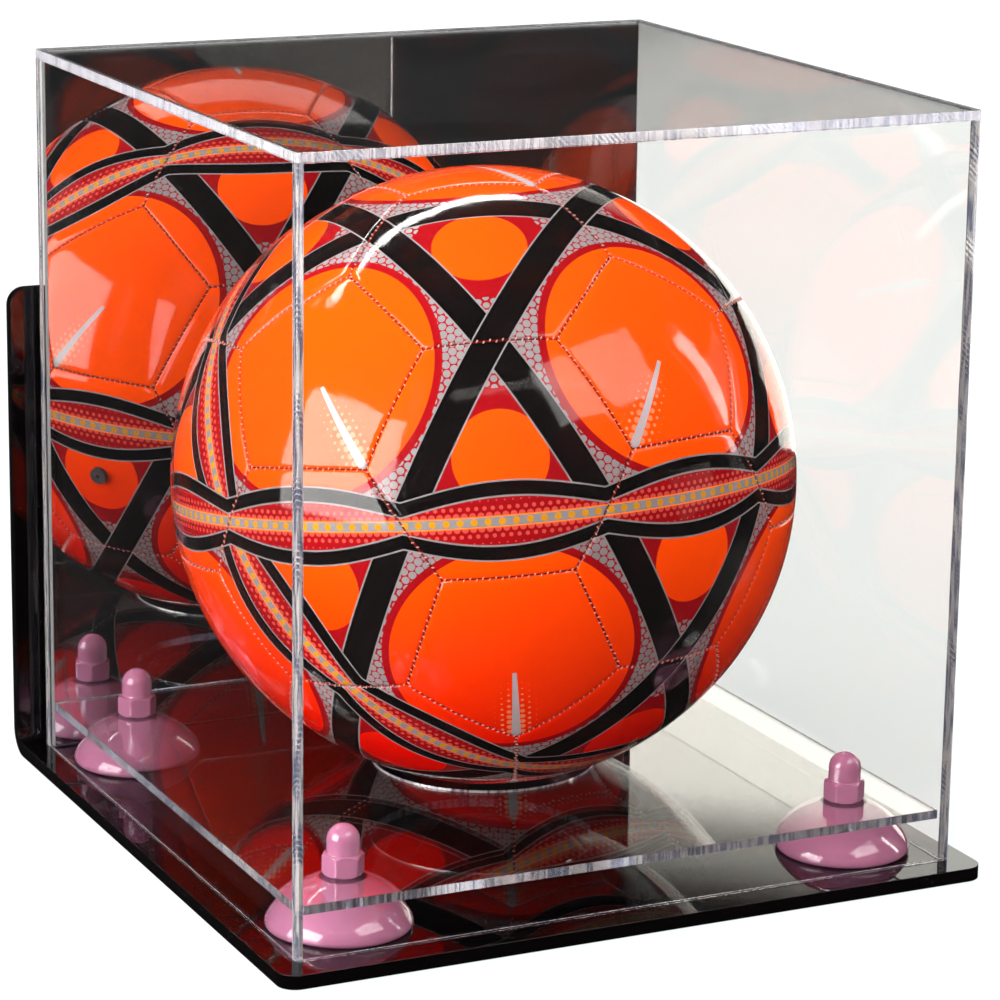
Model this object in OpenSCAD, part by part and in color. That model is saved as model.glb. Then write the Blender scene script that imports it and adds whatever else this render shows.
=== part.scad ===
// Football display case: a clear five-sided cover with a mirror at its back stands on a black
// base that is bent up behind it for a wall. Four risers carry a clear platform, and a football
// sits in the platform's round hole. Millimetres, +X to the right, +Y to the back, +Z up; the
// origin is at the bottom centre of the whole case.

/* [Football] */
// Diameter of the football
ball_d = 222; // [216:0.5:224]
// Thickness of the outer panels
panel_t = 3.2; // [2:0.1:4]
// Width of the groove between two panels
seam_w = 0.7; // [0.4:0.1:1.2]
// Thickness of the cloth lining under the panels
lining_t = 1.2; // [0.8:0.1:2]
// Thickness of the bladder's wall
bladder_t = 1.2; // [0.8:0.1:2]
// Gap between one layer of the ball and the next
layer_gap = 0.1; // [0.05:0.05:0.3]
// Radius of the valve's neck
valve_r = 3.4; // [3:0.1:4.5]
// How far the valve's end stays below the ball's surface
valve_sink = 0.2; // [0.1:0.1:0.5]
// Radius of the valve's flange inside the bladder
flange_r = 7; // [5:0.5:9]
// Thickness of that flange
flange_t = 1.5; // [1:0.1:2]
// Gap between that flange and the bladder
flange_gap = 1; // [0.5:0.1:2]
// Radius of the hole for the pump's needle
needle_r = 0.8; // [0.5:0.1:1]
// Tilt of the ball's panel pattern, to the front
ball_tilt = 24; // [0:1:90]
// Turn of the ball's panel pattern, about the vertical
ball_spin = 14; // [0:1:72]

/* [Room around the ball] */
// From the ball to each side wall
side_room = 8.3; // [4:0.1:30]
// From the ball to the front wall
front_room = 6.6; // [4:0.1:30]
// From the ball to the mirror
mirror_room = 6.6; // [4:0.1:30]
// From the ball's top to the top panel
head_room = 26; // [5:0.5:60]

/* [Cover] */
// Thickness of the clear sheets of the cover
wall_t = 3.2; // [2:0.1:6]
// Rounding of the cover's upright corners
cover_edge_r = 1.5; // [0.5:0.1:1.9]

/* [Mirror] */
// Thickness of the mirror sheet
mirror_t = 3; // [2:0.1:5]
// Gap between the mirror's edges and the cover
mirror_gap = 0.4; // [0.2:0.1:1.5]
// Thickness of the tape behind the mirror
tape_t = 0.4; // [0.2:0.1:1]
// Width of a tape strip
tape_w = 19; // [10:1:25]
// How far the tape stays inside the mirror's edges
tape_inset = 12; // [6:1:25]

/* [Base and wall upright] */
// Thickness of the black sheet
base_t = 4.8; // [3:0.1:8]
// How far the base reaches past the cover's sides
side_margin = 8.5; // [3:0.5:25]
// How far the base reaches past the cover's front
front_margin = 10.5; // [3:0.5:25]
// Gap between the cover's back and the upright
back_gap = 7; // [6:0.1:20]
// Inside radius of the bend
bend_r = 5; // [2:0.5:6]
// Height of the upright, from the underside of the base
upright_h = 178; // [90:1:250]
// Rounding of the base's front corners and of the upright's top corners
corner_r = 6.5; // [2:0.5:15]
// Diameter of the wall screw holes
wall_hole_d = 5.5; // [3.5:0.1:7]
// Distance between the two wall screw holes
wall_hole_pitch = 160; // [80:1:200]
// Depth of the wall screw holes below the upright's top
wall_hole_drop = 20; // [12:1:50]

/* [Platform] */
// Thickness of the clear platform
platform_t = 3.2; // [2:0.1:6]
// Gap between the platform's edges and the cover or the mirror
platform_gap = 0.6; // [0.3:0.1:1.5]
// Diameter of the hole that the ball sits in
seat_d = 80; // [40:1:100]
// Gap between the ball and the rim of the hole
seat_gap = 0.3; // [0.1:0.1:0.5]

/* [Risers] */
// Radius of a riser's foot
riser_r = 23.4; // [16:0.2:26]
// Height of a riser
riser_h = 14.8; // [12:0.1:20]
// Height of the riser's upright rim
riser_rim_h = 3; // [1.5:0.1:4]
// Radius of the flat top that carries the platform
riser_top_r = 8; // [7:0.1:11]
// Rounding under the rim
riser_edge_r = 1; // [0.4:0.1:1.4]
// Gap between a riser and the cover
riser_gap = 0.9; // [0.5:0.1:3]

/* [Screws and acorn nuts] */
// Diameter of the screws
screw_d = 6; // [4:0.1:6.5]
// Diameter of a screw's countersunk head
screw_head_d = 11.4; // [9.5:0.1:12]
// Gap around a screw in its holes
hole_gap = 0.25; // [0.15:0.05:0.5]
// Depth of the heads below the underside of the base
head_sink = 0.3; // [0.2:0.1:0.6]
// Radius of the hexagon socket in a screw's head, to its corners
socket_r = 2.3; // [1.5:0.1:2.6]
// Depth of that socket
socket_depth = 1.8; // [1:0.1:2.2]
// Length of thread inside a nut
thread_grip = 7.2; // [5:0.1:8]
// Gap between a nut's thread and its screw
thread_gap = 0.05; // [0.02:0.01:0.08]
// Room past a screw's end in its nut
end_gap = 1; // [0.5:0.1:2]
// Width of a nut across its flats
nut_af = 12.7; // [11.5:0.1:14]
// Height of a nut's hexagon
nut_hex_h = 7.1; // [5:0.1:9]
// Diameter of a nut's dome
nut_dome_d = 11.2; // [10:0.1:11.4]
// Full height of a nut
nut_h = 17.2; // [15.5:0.1:20]
// Chamfer of a nut's hexagon
nut_chamfer = 0.9; // [0.4:0.1:1]

/* [Hidden] */
$fn = 96;
eps = 0.01;
// How far a cutting shape reaches past the face that it cuts
cut = 1;
clear_acrylic = [0.85, 0.9, 0.92, 0.35];
pink = [0.8, 0.47, 0.63];

// Heights above the base's top, and the ball's seat in the platform
ball_r = ball_d / 2;
seat_r = seat_d / 2;
platform_z = base_t + riser_h;
platform_top = platform_z + platform_t;
seat_rise = sqrt(pow(ball_r + seat_gap, 2) - pow(seat_r, 2));
ball_z = platform_top + seat_rise;
cover_h = ball_z - base_t + ball_r + head_room + wall_t;

// The cover's plan, and the base's plan around it
cover_w = ball_d + 2 * side_room + 2 * wall_t;
cover_d = wall_t + front_room + ball_d + mirror_room + mirror_t + tape_t + wall_t;
base_w = cover_w + 2 * side_margin;
base_d = front_margin + cover_d + back_gap + base_t;
front_y = -base_d / 2;
back_y = base_d / 2;
cover_front_y = front_y + front_margin;
cover_back_y = cover_front_y + cover_d;
mirror_front_y = cover_back_y - wall_t - tape_t - mirror_t;
ball_y = cover_front_y + wall_t + front_room + ball_r;

// Places of the risers, and what passes through them
riser_x = cover_w / 2 - wall_t - riser_gap - riser_r;
riser_front_y = cover_front_y + wall_t + riser_gap + riser_r;
riser_back_y = mirror_front_y - riser_gap - riser_r;
screw_r = screw_d / 2;
hole_r = screw_r + hole_gap;
screw_top = platform_top + thread_grip;
// The head's cone is at 45 degrees, so it is as deep as it is wider than the shank
head_h = screw_head_d / 2 - screw_r;

// Corners of an icosahedron: a pentagon panel is centred on each, a hexagon panel on each face
golden = (1 + sqrt(5)) / 2;
ico_edge = 2;
ico_corners = [
    for (s = [-1, 1], t = [-golden, golden])
        each [[0, s, t], [s, t, 0], [t, 0, s]]
];
function is_edge(a, b) = abs(norm(a - b) - ico_edge) < eps;
hexagon_faces = [
    for (i = [0 : 9], j = [i + 1 : 10], k = [j + 1 : 11])
        let (a = ico_corners[i], b = ico_corners[j], c = ico_corners[k])
            if (is_edge(a, b) && is_edge(b, c) && is_edge(a, c)) [a + b + c, a]
];
pentagon_faces = [
    for (a = ico_corners)
        [a, [for (b = ico_corners) if (is_edge(a, b)) b][0]]
];
// A panel of the truncated icosahedron, for an edge of 1: distance from the middle, and radius
pentagon_size = [2.327438, 0.850651];
hexagon_size = [2.267284, 1];
// The valve sits in the middle of this hexagon panel
valve_face = hexagon_faces[8];
// Outer radii of the two layers under the panels
lining_r = ball_r - panel_t - layer_gap;
bladder_r = lining_r - lining_t - layer_gap;

// The mirror is as large as the inside of the back wall
mirror_w = cover_w - 2 * (wall_t + mirror_gap);
mirror_h = cover_h - wall_t - 2 * mirror_gap;

// A sheet with its two far corners rounded; its straight edge lies on Y = 0
module rounded_end(width, length, r) {
    translate([-width / 2, 0])
        square([width, length - r]);
    translate([r - width / 2, 0])
        square([width - 2 * r, length]);
    for (side = [-1, 1])
        translate([side * (width / 2 - r), length - r])
            circle(r);
}

// The outline of the cover, seen from above
module cover_outline() {
    translate([-cover_w / 2, cover_front_y + cover_edge_r])
        square([cover_w, cover_d - 2 * cover_edge_r]);
    translate([cover_edge_r - cover_w / 2, cover_front_y])
        square([cover_w - 2 * cover_edge_r, cover_d]);
    for (x = [-1, 1], y = [cover_front_y + cover_edge_r, cover_back_y - cover_edge_r])
        translate([x * (cover_w / 2 - cover_edge_r), y])
            circle(cover_edge_r);
}

// Everything that follows is placed once at each corner of the platform
module at_riser(x_side, y) {
    translate([x_side * riser_x, y, 0])
        children();
}

module at_all_risers() {
    for (x_side = [-1, 1], y = [riser_front_y, riser_back_y])
        at_riser(x_side, y)
            children();
}

// Base: a flat sheet, a quarter bend along its back edge, and the upright
module base_mount() {
    bend_out = bend_r + base_t;
    bend_y = back_y - bend_out;
    color([0.02, 0.02, 0.02])
        difference() {
            union() {
                translate([0, bend_y, 0])
                    mirror([0, 1, 0])
                        linear_extrude(base_t)
                            rounded_end(base_w, bend_y - front_y, corner_r);
                translate([0, back_y, bend_out])
                    rotate([90, 0, 0])
                        linear_extrude(base_t)
                            rounded_end(base_w, upright_h - bend_out, corner_r);
                translate([-base_w / 2, bend_y, bend_out])
                    intersection() {
                        translate([0, 0, -bend_out])
                            cube([base_w, bend_out, bend_out]);
                        rotate([0, 90, 0])
                            difference() {
                                cylinder(r = bend_out, h = base_w);
                                translate([0, 0, -cut])
                                    cylinder(r = bend_r, h = base_w + 2 * cut);
                            }
                    }
            }
            at_all_risers()
                screw_hole();
            for (side = [-1, 1])
                translate([side * wall_hole_pitch / 2, back_y + cut, upright_h - wall_hole_drop])
                    rotate([90, 0, 0])
                        cylinder(d = wall_hole_d, h = base_t + 2 * cut);
        }
}

// Countersunk hole for one screw, from below
module screw_hole() {
    translate([0, 0, -cut])
        cylinder(r = hole_r, h = base_t + 2 * cut);
    translate([0, 0, -eps])
        cylinder(r = head_h + hole_r, h = head_sink + eps);
    translate([0, 0, head_sink])
        cylinder(r1 = head_h + hole_r, r2 = hole_r, h = head_h);
}

// Platform: a clear sheet with the seat and the four screw holes
module platform() {
    plate_w = cover_w - 2 * (wall_t + platform_gap);
    plate_front = cover_front_y + wall_t + platform_gap;
    plate_back = mirror_front_y - platform_gap;
    color(clear_acrylic)
        difference() {
            translate([-plate_w / 2, plate_front, platform_z])
                cube([plate_w, plate_back - plate_front, platform_t]);
            translate([0, ball_y, platform_z - cut])
                cylinder(r = seat_r, h = platform_t + 2 * cut, $fn = 180);
            at_all_risers()
                translate([0, 0, platform_z - cut])
                    cylinder(r = hole_r, h = platform_t + 2 * cut);
        }
}

// Riser: an upright rim, rounded below, under a cap that is part of a sphere
module riser() {
    rise = riser_h - riser_rim_h;
    // Depth of the sphere's centre below the rim's top, from the two circles that it passes
    drop = (pow(riser_r, 2) - pow(riser_top_r, 2) - pow(rise, 2)) / (2 * rise);
    cap_r = sqrt(pow(riser_r, 2) + pow(drop, 2));
    color(pink)
        translate([0, 0, base_t])
            rotate_extrude()
                difference() {
                    union() {
                        translate([0, riser_edge_r])
                            square([riser_r, riser_rim_h - riser_edge_r]);
                        square([riser_r - riser_edge_r, riser_rim_h]);
                        translate([riser_r - riser_edge_r, riser_edge_r])
                            circle(riser_edge_r);
                        intersection() {
                            translate([0, riser_rim_h])
                                square([riser_r, rise]);
                            translate([0, riser_rim_h - drop])
                                circle(cap_r);
                        }
                    }
                    translate([-riser_r, -cut])
                        square([riser_r + hole_r, riser_h + 2 * cut]);
                }
}

// Acorn nut: a chamfered hexagon, a straight collar and a round dome, with a blind bore
module acorn_nut(turn) {
    hex_r = nut_af / 2 / cos(30);
    dome_r = nut_dome_d / 2;
    // Two cones, foot to foot, take the hexagon's corners off at 45 degrees above and below
    end_r = hex_r - nut_chamfer;
    middle_r = end_r + nut_hex_h / 2;
    color(pink)
        translate([0, 0, platform_top])
            difference() {
                union() {
                    intersection() {
                        rotate(turn)
                            cylinder(r = hex_r, h = nut_hex_h, $fn = 6);
                        union() {
                            cylinder(r1 = end_r, r2 = middle_r, h = nut_hex_h / 2);
                            translate([0, 0, nut_hex_h / 2])
                                cylinder(r1 = middle_r, r2 = end_r, h = nut_hex_h / 2);
                        }
                    }
                    cylinder(r = dome_r, h = nut_h - dome_r);
                    translate([0, 0, nut_h - dome_r])
                        sphere(dome_r);
                }
                translate([0, 0, -cut])
                    cylinder(r = screw_r + thread_gap, h = thread_grip + end_gap + cut);
            }
}

// Screw: a countersunk head with a hexagon socket, and a shank up into the nut
module screw() {
    color("silver")
        difference() {
            union() {
                translate([0, 0, head_sink])
                    cylinder(r1 = head_h + screw_r, r2 = screw_r, h = head_h);
                translate([0, 0, head_sink])
                    cylinder(r = screw_r, h = screw_top - head_sink);
            }
            translate([0, 0, head_sink - cut])
                cylinder(r = socket_r, h = socket_depth + cut, $fn = 6);
        }
}

// Top panel of the cover: it lies on the four walls
module cover_top() {
    color(clear_acrylic)
        translate([0, 0, base_t + cover_h - wall_t])
            linear_extrude(wall_t)
                cover_outline();
}

// One wall of the cover, cut from the cover's outline
module cover_wall(low, size) {
    color(clear_acrylic)
        intersection() {
            translate([0, 0, base_t])
                linear_extrude(cover_h - wall_t)
                    cover_outline();
            translate([low[0], low[1], base_t - cut])
                cube([size[0], size[1], cover_h]);
        }
}

module cover_front() {
    cover_wall([-cover_w / 2, cover_front_y], [cover_w, wall_t]);
}

module cover_back() {
    cover_wall([-cover_w / 2, cover_back_y - wall_t], [cover_w, wall_t]);
}

module cover_left() {
    cover_wall([-cover_w / 2, cover_front_y + wall_t], [wall_t, cover_d - 2 * wall_t]);
}

module cover_right() {
    cover_wall([cover_w / 2 - wall_t, cover_front_y + wall_t], [wall_t, cover_d - 2 * wall_t]);
}

// Mirror: a sheet that stands on its edge inside the back wall
module mirror_sheet() {
    color([0.75, 0.78, 0.8])
        translate([-mirror_w / 2, mirror_front_y, base_t + mirror_gap])
            cube([mirror_w, mirror_t, mirror_h]);
}

// Three upright strips of tape between the mirror and the back wall
module mirror_tape() {
    reach = mirror_w / 2 - tape_inset - tape_w / 2;
    color([0.9, 0.9, 0.88])
        for (x = [-reach, 0, reach])
            translate([x - tape_w / 2, mirror_front_y + mirror_t, base_t + mirror_gap + tape_inset])
                cube([tape_w, tape_t, mirror_h - 2 * tape_inset]);
}

// Puts its children at the ball's middle, with the panel pattern turned and tilted
module in_ball() {
    translate([0, ball_y, ball_z])
        rotate([ball_tilt, 0, ball_spin])
            children();
}

// Turns +Z to a panel's direction, and +X to the corner of the panel next to its neighbour
module facing(face) {
    n = face[0] / norm(face[0]);
    lean = acos(n[2]);
    turn = atan2(n[1], n[0]);
    across = [cos(lean) * cos(turn), cos(lean) * sin(turn), -sin(lean)];
    along = [-sin(turn), cos(turn), 0];
    spin = atan2(face[1] * along, face[1] * across);
    rotate([0, lean, turn])
        rotate(spin)
            children();
}

// A ball-shaped shell between two radii
module shell(outer, inner) {
    difference() {
        sphere(outer);
        sphere(inner);
    }
}

// One panel: the part of the shell that a straight-sided cone from the middle takes in
module panel(sides, size, turn) {
    reach = ball_r + cut;
    // The cone's tip moves out, so that each side stands half a groove from the panel's edge
    side_slope = size[1] * cos(180 / sides) / size[0];
    tip = seam_w / 2 / sin(atan(side_slope));
    intersection() {
        shell(ball_r, ball_r - panel_t);
        translate([0, 0, tip])
            rotate(turn)
                cylinder(r1 = 0, r2 = reach * size[1] / size[0], h = reach, $fn = sides);
    }
}

module ball_pentagons() {
    color([0.1, 0.1, 0.1])
        in_ball()
            for (face = pentagon_faces)
                facing(face)
                    panel(5, pentagon_size, 0);
}

module ball_hexagons() {
    color([0.95, 0.35, 0.05])
        in_ball()
            difference() {
                for (face = hexagon_faces)
                    facing(face)
                        panel(6, hexagon_size, 30);
                valve_bore();
            }
}

// The hole that the valve's neck goes through
module valve_bore() {
    facing(valve_face)
        cylinder(r = valve_r + thread_gap, h = ball_r + cut);
}

// Lining and bladder: two shells inside the panels, with the valve's neck through them
module valve_shell(outer, thickness) {
    in_ball()
        difference() {
            shell(outer, outer - thickness);
            valve_bore();
        }
}

module ball_lining() {
    color("white")
        valve_shell(lining_r, lining_t);
}

module ball_bladder() {
    color([0.15, 0.15, 0.15])
        valve_shell(bladder_r, bladder_t);
}

// Valve: a neck through the wall, a flange inside it, and a needle hole that stops short
module ball_valve() {
    flange_top = bladder_r - bladder_t - flange_gap;
    neck_top = ball_r - valve_sink;
    color([0.2, 0.2, 0.2])
        in_ball()
            facing(valve_face)
                difference() {
                    union() {
                        translate([0, 0, flange_top - flange_t])
                            cylinder(r = flange_r, h = flange_t);
                        translate([0, 0, flange_top - eps])
                            cylinder(r = valve_r, h = neck_top - flange_top + eps);
                    }
                    translate([0, 0, flange_top])
                        cylinder(r = needle_r, h = ball_r);
                }
}

base_mount();
platform();
at_riser(-1, riser_front_y) riser();  // riser_front_left
at_riser(1, riser_front_y) riser();  // riser_front_right
at_riser(-1, riser_back_y) riser();  // riser_back_left
at_riser(1, riser_back_y) riser();  // riser_back_right
at_riser(-1, riser_front_y) acorn_nut(48);  // acorn_nut_front_left
at_riser(1, riser_front_y) acorn_nut(38);  // acorn_nut_front_right
at_riser(-1, riser_back_y) acorn_nut(51);  // acorn_nut_back_left
at_riser(1, riser_back_y) acorn_nut(25);  // acorn_nut_back_right
at_riser(-1, riser_front_y) screw();  // screw_front_left
at_riser(1, riser_front_y) screw();  // screw_front_right
at_riser(-1, riser_back_y) screw();  // screw_back_left
at_riser(1, riser_back_y) screw();  // screw_back_right
cover_top();
cover_front();
cover_back();
cover_left();
cover_right();
mirror_sheet();  // mirror
mirror_tape();
ball_pentagons();
ball_hexagons();
ball_lining();
ball_bladder();
ball_valve();
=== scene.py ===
"""Looks of the football display case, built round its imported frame.

Lengths in the classes are in millimetres, unless they say otherwise; meshes are in metres, in
the frame's own axes: +X to the right, +Y to the back, +Z up.
"""

import logging
import math
from dataclasses import dataclass, field
from enum import Enum
from functools import lru_cache
from itertools import combinations
from typing import Callable, Iterable, Sequence

import bmesh
import bpy
import numpy as np
from mathutils import Matrix, Vector


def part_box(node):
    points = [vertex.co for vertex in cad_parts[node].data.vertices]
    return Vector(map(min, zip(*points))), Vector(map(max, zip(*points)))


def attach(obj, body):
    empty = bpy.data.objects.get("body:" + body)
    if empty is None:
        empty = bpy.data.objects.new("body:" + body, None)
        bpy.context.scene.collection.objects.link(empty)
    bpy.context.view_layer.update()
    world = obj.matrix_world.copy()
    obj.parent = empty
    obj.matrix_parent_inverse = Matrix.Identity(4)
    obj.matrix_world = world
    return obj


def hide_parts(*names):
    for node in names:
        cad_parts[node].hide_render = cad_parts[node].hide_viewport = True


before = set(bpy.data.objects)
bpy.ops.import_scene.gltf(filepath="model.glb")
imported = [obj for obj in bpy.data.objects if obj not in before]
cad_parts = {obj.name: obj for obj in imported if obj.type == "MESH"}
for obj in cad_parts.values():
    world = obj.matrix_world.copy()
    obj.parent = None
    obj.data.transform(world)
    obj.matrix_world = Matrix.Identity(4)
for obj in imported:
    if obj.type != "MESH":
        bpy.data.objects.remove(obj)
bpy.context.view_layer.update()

LOG = logging.getLogger("display_case")
Colour = tuple[float, float, float]
Value = "bpy.types.NodeSocket | float | Sequence[float]"

MM = 0.001
SAME = 1e-5  # places closer than this, in metres, are one
ALONG = 0.9  # cosine above which an edge or a normal goes along an axis
ACROSS = 0.95  # cosine above which a face lies flat across an axis
SCREW_HOLE_R = 3.25
WHITE: Colour = (1.0, 1.0, 1.0)
ONCE = 0.5  # halfway between no surface and one
MANY_TIMES = 5.5  # surfaces that light meets when it runs along the inside of a sheet


class Corner(Enum):
    """The four corners of the platform, as the frame's nodes name them."""

    FRONT_LEFT = "front_left"
    FRONT_RIGHT = "front_right"
    BACK_LEFT = "back_left"
    BACK_RIGHT = "back_right"


class Axis(Enum):
    """A direction of the frame, by its place in a vector."""

    X = 0
    Y = 1
    Z = 2


class Body(Enum):
    """The three bodies that move apart."""

    BASE = "base"
    COVER = "cover"
    BALL = "ball"


class PanelKind(Enum):
    """The two shapes of ball panel, by their number of sides."""

    PENTAGON = 5
    HEXAGON = 6


class Element(Enum):
    """What a modelling step selects."""

    EDGE = "EDGE"
    FACE = "FACE"


class Met(Enum):
    """The kinds of surface that light meets, as the Light Path node counts them."""

    GLOSSY = "Glossy Depth"
    MATT = "Diffuse Depth"


class Mixture(Enum):
    """What a Mix node mixes: its data type, its first input for that and its output."""

    NUMBER = ("FLOAT", 2, 0)
    COLOUR = ("RGBA", 6, 2)


# ---------------------------------------------------------------- node graphs


class Graph:
    """Short calls for the shader nodes that the finishes are made of."""

    def __init__(self, tree: bpy.types.NodeTree) -> None:
        """Works on one node tree.

        Args:
            tree: The tree that new nodes go into.
        """
        self.tree = tree

    def feed(self, socket: bpy.types.NodeSocket, value: Value) -> None:
        """Links an input to another node's output, or sets the input's own value.

        Args:
            socket: The input.
            value: The output, or a number, vector or colour.
        """
        if isinstance(value, bpy.types.NodeSocket):
            self.tree.links.new(value, socket)
        elif socket.type == "RGBA":
            socket.default_value = (*value, 1.0)
        else:
            socket.default_value = value

    def fill(self, made: bpy.types.Node, *values: Value) -> bpy.types.Node:
        """Feeds a node's first inputs, in their order.

        Args:
            made: The node.
            values: The values.

        Returns:
            The same node.
        """
        for socket, value in zip(made.inputs, values):
            self.feed(socket, value)
        return made

    def fit(self, made: bpy.types.Node, **values: Value) -> bpy.types.Node:
        """Feeds a node's inputs by name.

        Args:
            made: The node.
            values: The values, by name, with underscores for spaces.

        Returns:
            The same node.
        """
        for name, value in values.items():
            self.feed(made.inputs[name.replace("_", " ")], value)
        return made

    def node(self, kind: str, **settings: object) -> bpy.types.Node:
        """Adds a node.

        Args:
            kind: The node's type name, without its ShaderNode prefix.
            settings: Properties of the node.

        Returns:
            The new node.
        """
        made = self.tree.nodes.new("ShaderNode" + kind)
        for name, value in settings.items():
            setattr(made, name, value)
        return made

    def math(self, operation: str, *values: Value) -> bpy.types.NodeSocket:
        """Adds a Math node and returns its output."""
        return self.fill(self.node("Math", operation=operation), *values).outputs[0]

    def vector(self, operation: str, *values: Value) -> bpy.types.NodeSocket:
        """Adds a Vector Math node.

        Args:
            operation: Its operation.
            values: Its inputs, in order.

        Returns:
            The output that its operation fills.
        """
        made = self.fill(self.node("VectorMath", operation=operation), *values)
        scalar = operation in ("DOT_PRODUCT", "LENGTH", "DISTANCE")
        return made.outputs["Value" if scalar else "Vector"]

    def scaled(self, vector: Value, factor: Value) -> bpy.types.NodeSocket:
        """Multiplies a vector by a number."""
        made = self.fit(self.node("VectorMath", operation="SCALE"), Vector=vector, Scale=factor)
        return made.outputs["Vector"]

    def xyz(self, x: Value = 0.0, y: Value = 0.0, z: Value = 0.0) -> bpy.types.NodeSocket:
        """Joins three numbers into a vector."""
        return self.fill(self.node("CombineXYZ"), x, y, z).outputs[0]

    def parts(self, vector: Value) -> list[bpy.types.NodeSocket]:
        """Splits a vector into its three numbers."""
        return list(self.fill(self.node("SeparateXYZ"), vector).outputs)

    def mixture(self, kind: Mixture, factor: Value, low: Value,
                high: Value) -> bpy.types.NodeSocket:
        """Adds a Mix node.

        Args:
            kind: What it mixes.
            factor: The share of the second value.
            low: The first value.
            high: The second value.

        Returns:
            The mixed value.
        """
        data_type, first, output = kind.value
        made = self.node("Mix", data_type=data_type)
        for index, value in ((0, factor), (first, low), (first + 1, high)):
            self.feed(made.inputs[index], value)
        return made.outputs[output]

    def mix(self, factor: Value, low: Value, high: Value) -> bpy.types.NodeSocket:
        """Mixes two numbers; the factor is the second one's share."""
        return self.mixture(Mixture.NUMBER, factor, low, high)

    def blend(self, factor: Value, low: Value, high: Value) -> bpy.types.NodeSocket:
        """Mixes two colours; the factor is the second one's share."""
        return self.mixture(Mixture.COLOUR, factor, low, high)

    def swap(self, factor: Value, low: bpy.types.Node, high: bpy.types.Node) -> bpy.types.Node:
        """Mixes the shaders of two nodes; the factor is the second one's share."""
        return self.fill(self.node("MixShader"), factor, low.outputs[0], high.outputs[0])

    def ramp(self, value: Value, low: float, high: float, to_low: float = 0.0,
             to_high: float = 1.0, smooth: bool = False) -> bpy.types.NodeSocket:
        """Maps a number's range to another range, and holds it there.

        Args:
            value: The number.
            low: The start of its range.
            high: The end of its range.
            to_low: What the start becomes.
            to_high: What the end becomes.
            smooth: True where the map starts and ends softly.

        Returns:
            The mapped number.
        """
        made = self.node("MapRange", interpolation_type="SMOOTHSTEP" if smooth else "LINEAR")
        return self.fill(made, value, low, high, to_low, to_high).outputs[0]

    def noise(self, vector: Value, scale: float, detail: float = 2.0,
              rough: float = 0.5) -> bpy.types.NodeSocket:
        """Adds a noise texture.

        Args:
            vector: Where it is read.
            scale: Its scale.
            detail: How many finer layers it has.
            rough: How strong its finer layers are.

        Returns:
            Its grey value.
        """
        made = self.fit(self.node("TexNoise"), Vector=vector, Scale=scale, Detail=detail,
                        Roughness=rough)
        return made.outputs["Fac"]

    def group(self, tree: bpy.types.NodeTree, **values: Value) -> bpy.types.Node:
        """Adds a node group and feeds its inputs by name."""
        return self.fit(self.node("Group", node_tree=tree), **values)

    def place(self) -> bpy.types.NodeSocket:
        """Object coordinates, which are the frame's own, in metres."""
        return self.node("TexCoord").outputs["Object"]

    def has_met(self, kind: Met, count: float) -> bpy.types.NodeSocket:
        """1 for light that has met more surfaces of a kind than a count, and otherwise 0."""
        return self.math("GREATER_THAN", self.node("LightPath").outputs[kind.value], count)

    def only_mirrored(self) -> bpy.types.NodeSocket:
        """Finds light that a glossy surface has mirrored on a way with no matt one on it.

        Returns:
            1 for such light, and otherwise 0.
        """
        scatters = self.node("LightPath").outputs[Met.MATT.value]
        return self.math("MULTIPLY", self.has_met(Met.GLOSSY, ONCE),
                         self.math("LESS_THAN", scatters, ONCE))


def new_group(name: str, inputs: dict[str, object], outputs: dict[str, str]) -> tuple[
        bpy.types.NodeTree, Graph, dict[str, bpy.types.NodeSocket], bpy.types.Node]:
    """Starts a shader node group.

    Args:
        name: The group's name.
        inputs: Default values by input name; a number makes a float socket.
        outputs: Socket kinds by output name.

    Returns:
        The tree, a graph on it, its input sockets by name, and its output node.
    """
    tree = bpy.data.node_groups.new(name, "ShaderNodeTree")
    for label, value in inputs.items():
        kind = "NodeSocketFloat" if isinstance(value, float) else "NodeSocketVector"
        made = tree.interface.new_socket(name=label, in_out="INPUT", socket_type=kind)
        made.default_value = value
    for label, kind in outputs.items():
        tree.interface.new_socket(name=label, in_out="OUTPUT", socket_type="NodeSocket" + kind)
    graph = Graph(tree)
    start, end = tree.nodes.new("NodeGroupInput"), tree.nodes.new("NodeGroupOutput")
    return tree, graph, {s.name: s for s in start.outputs if s.name}, end


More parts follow.
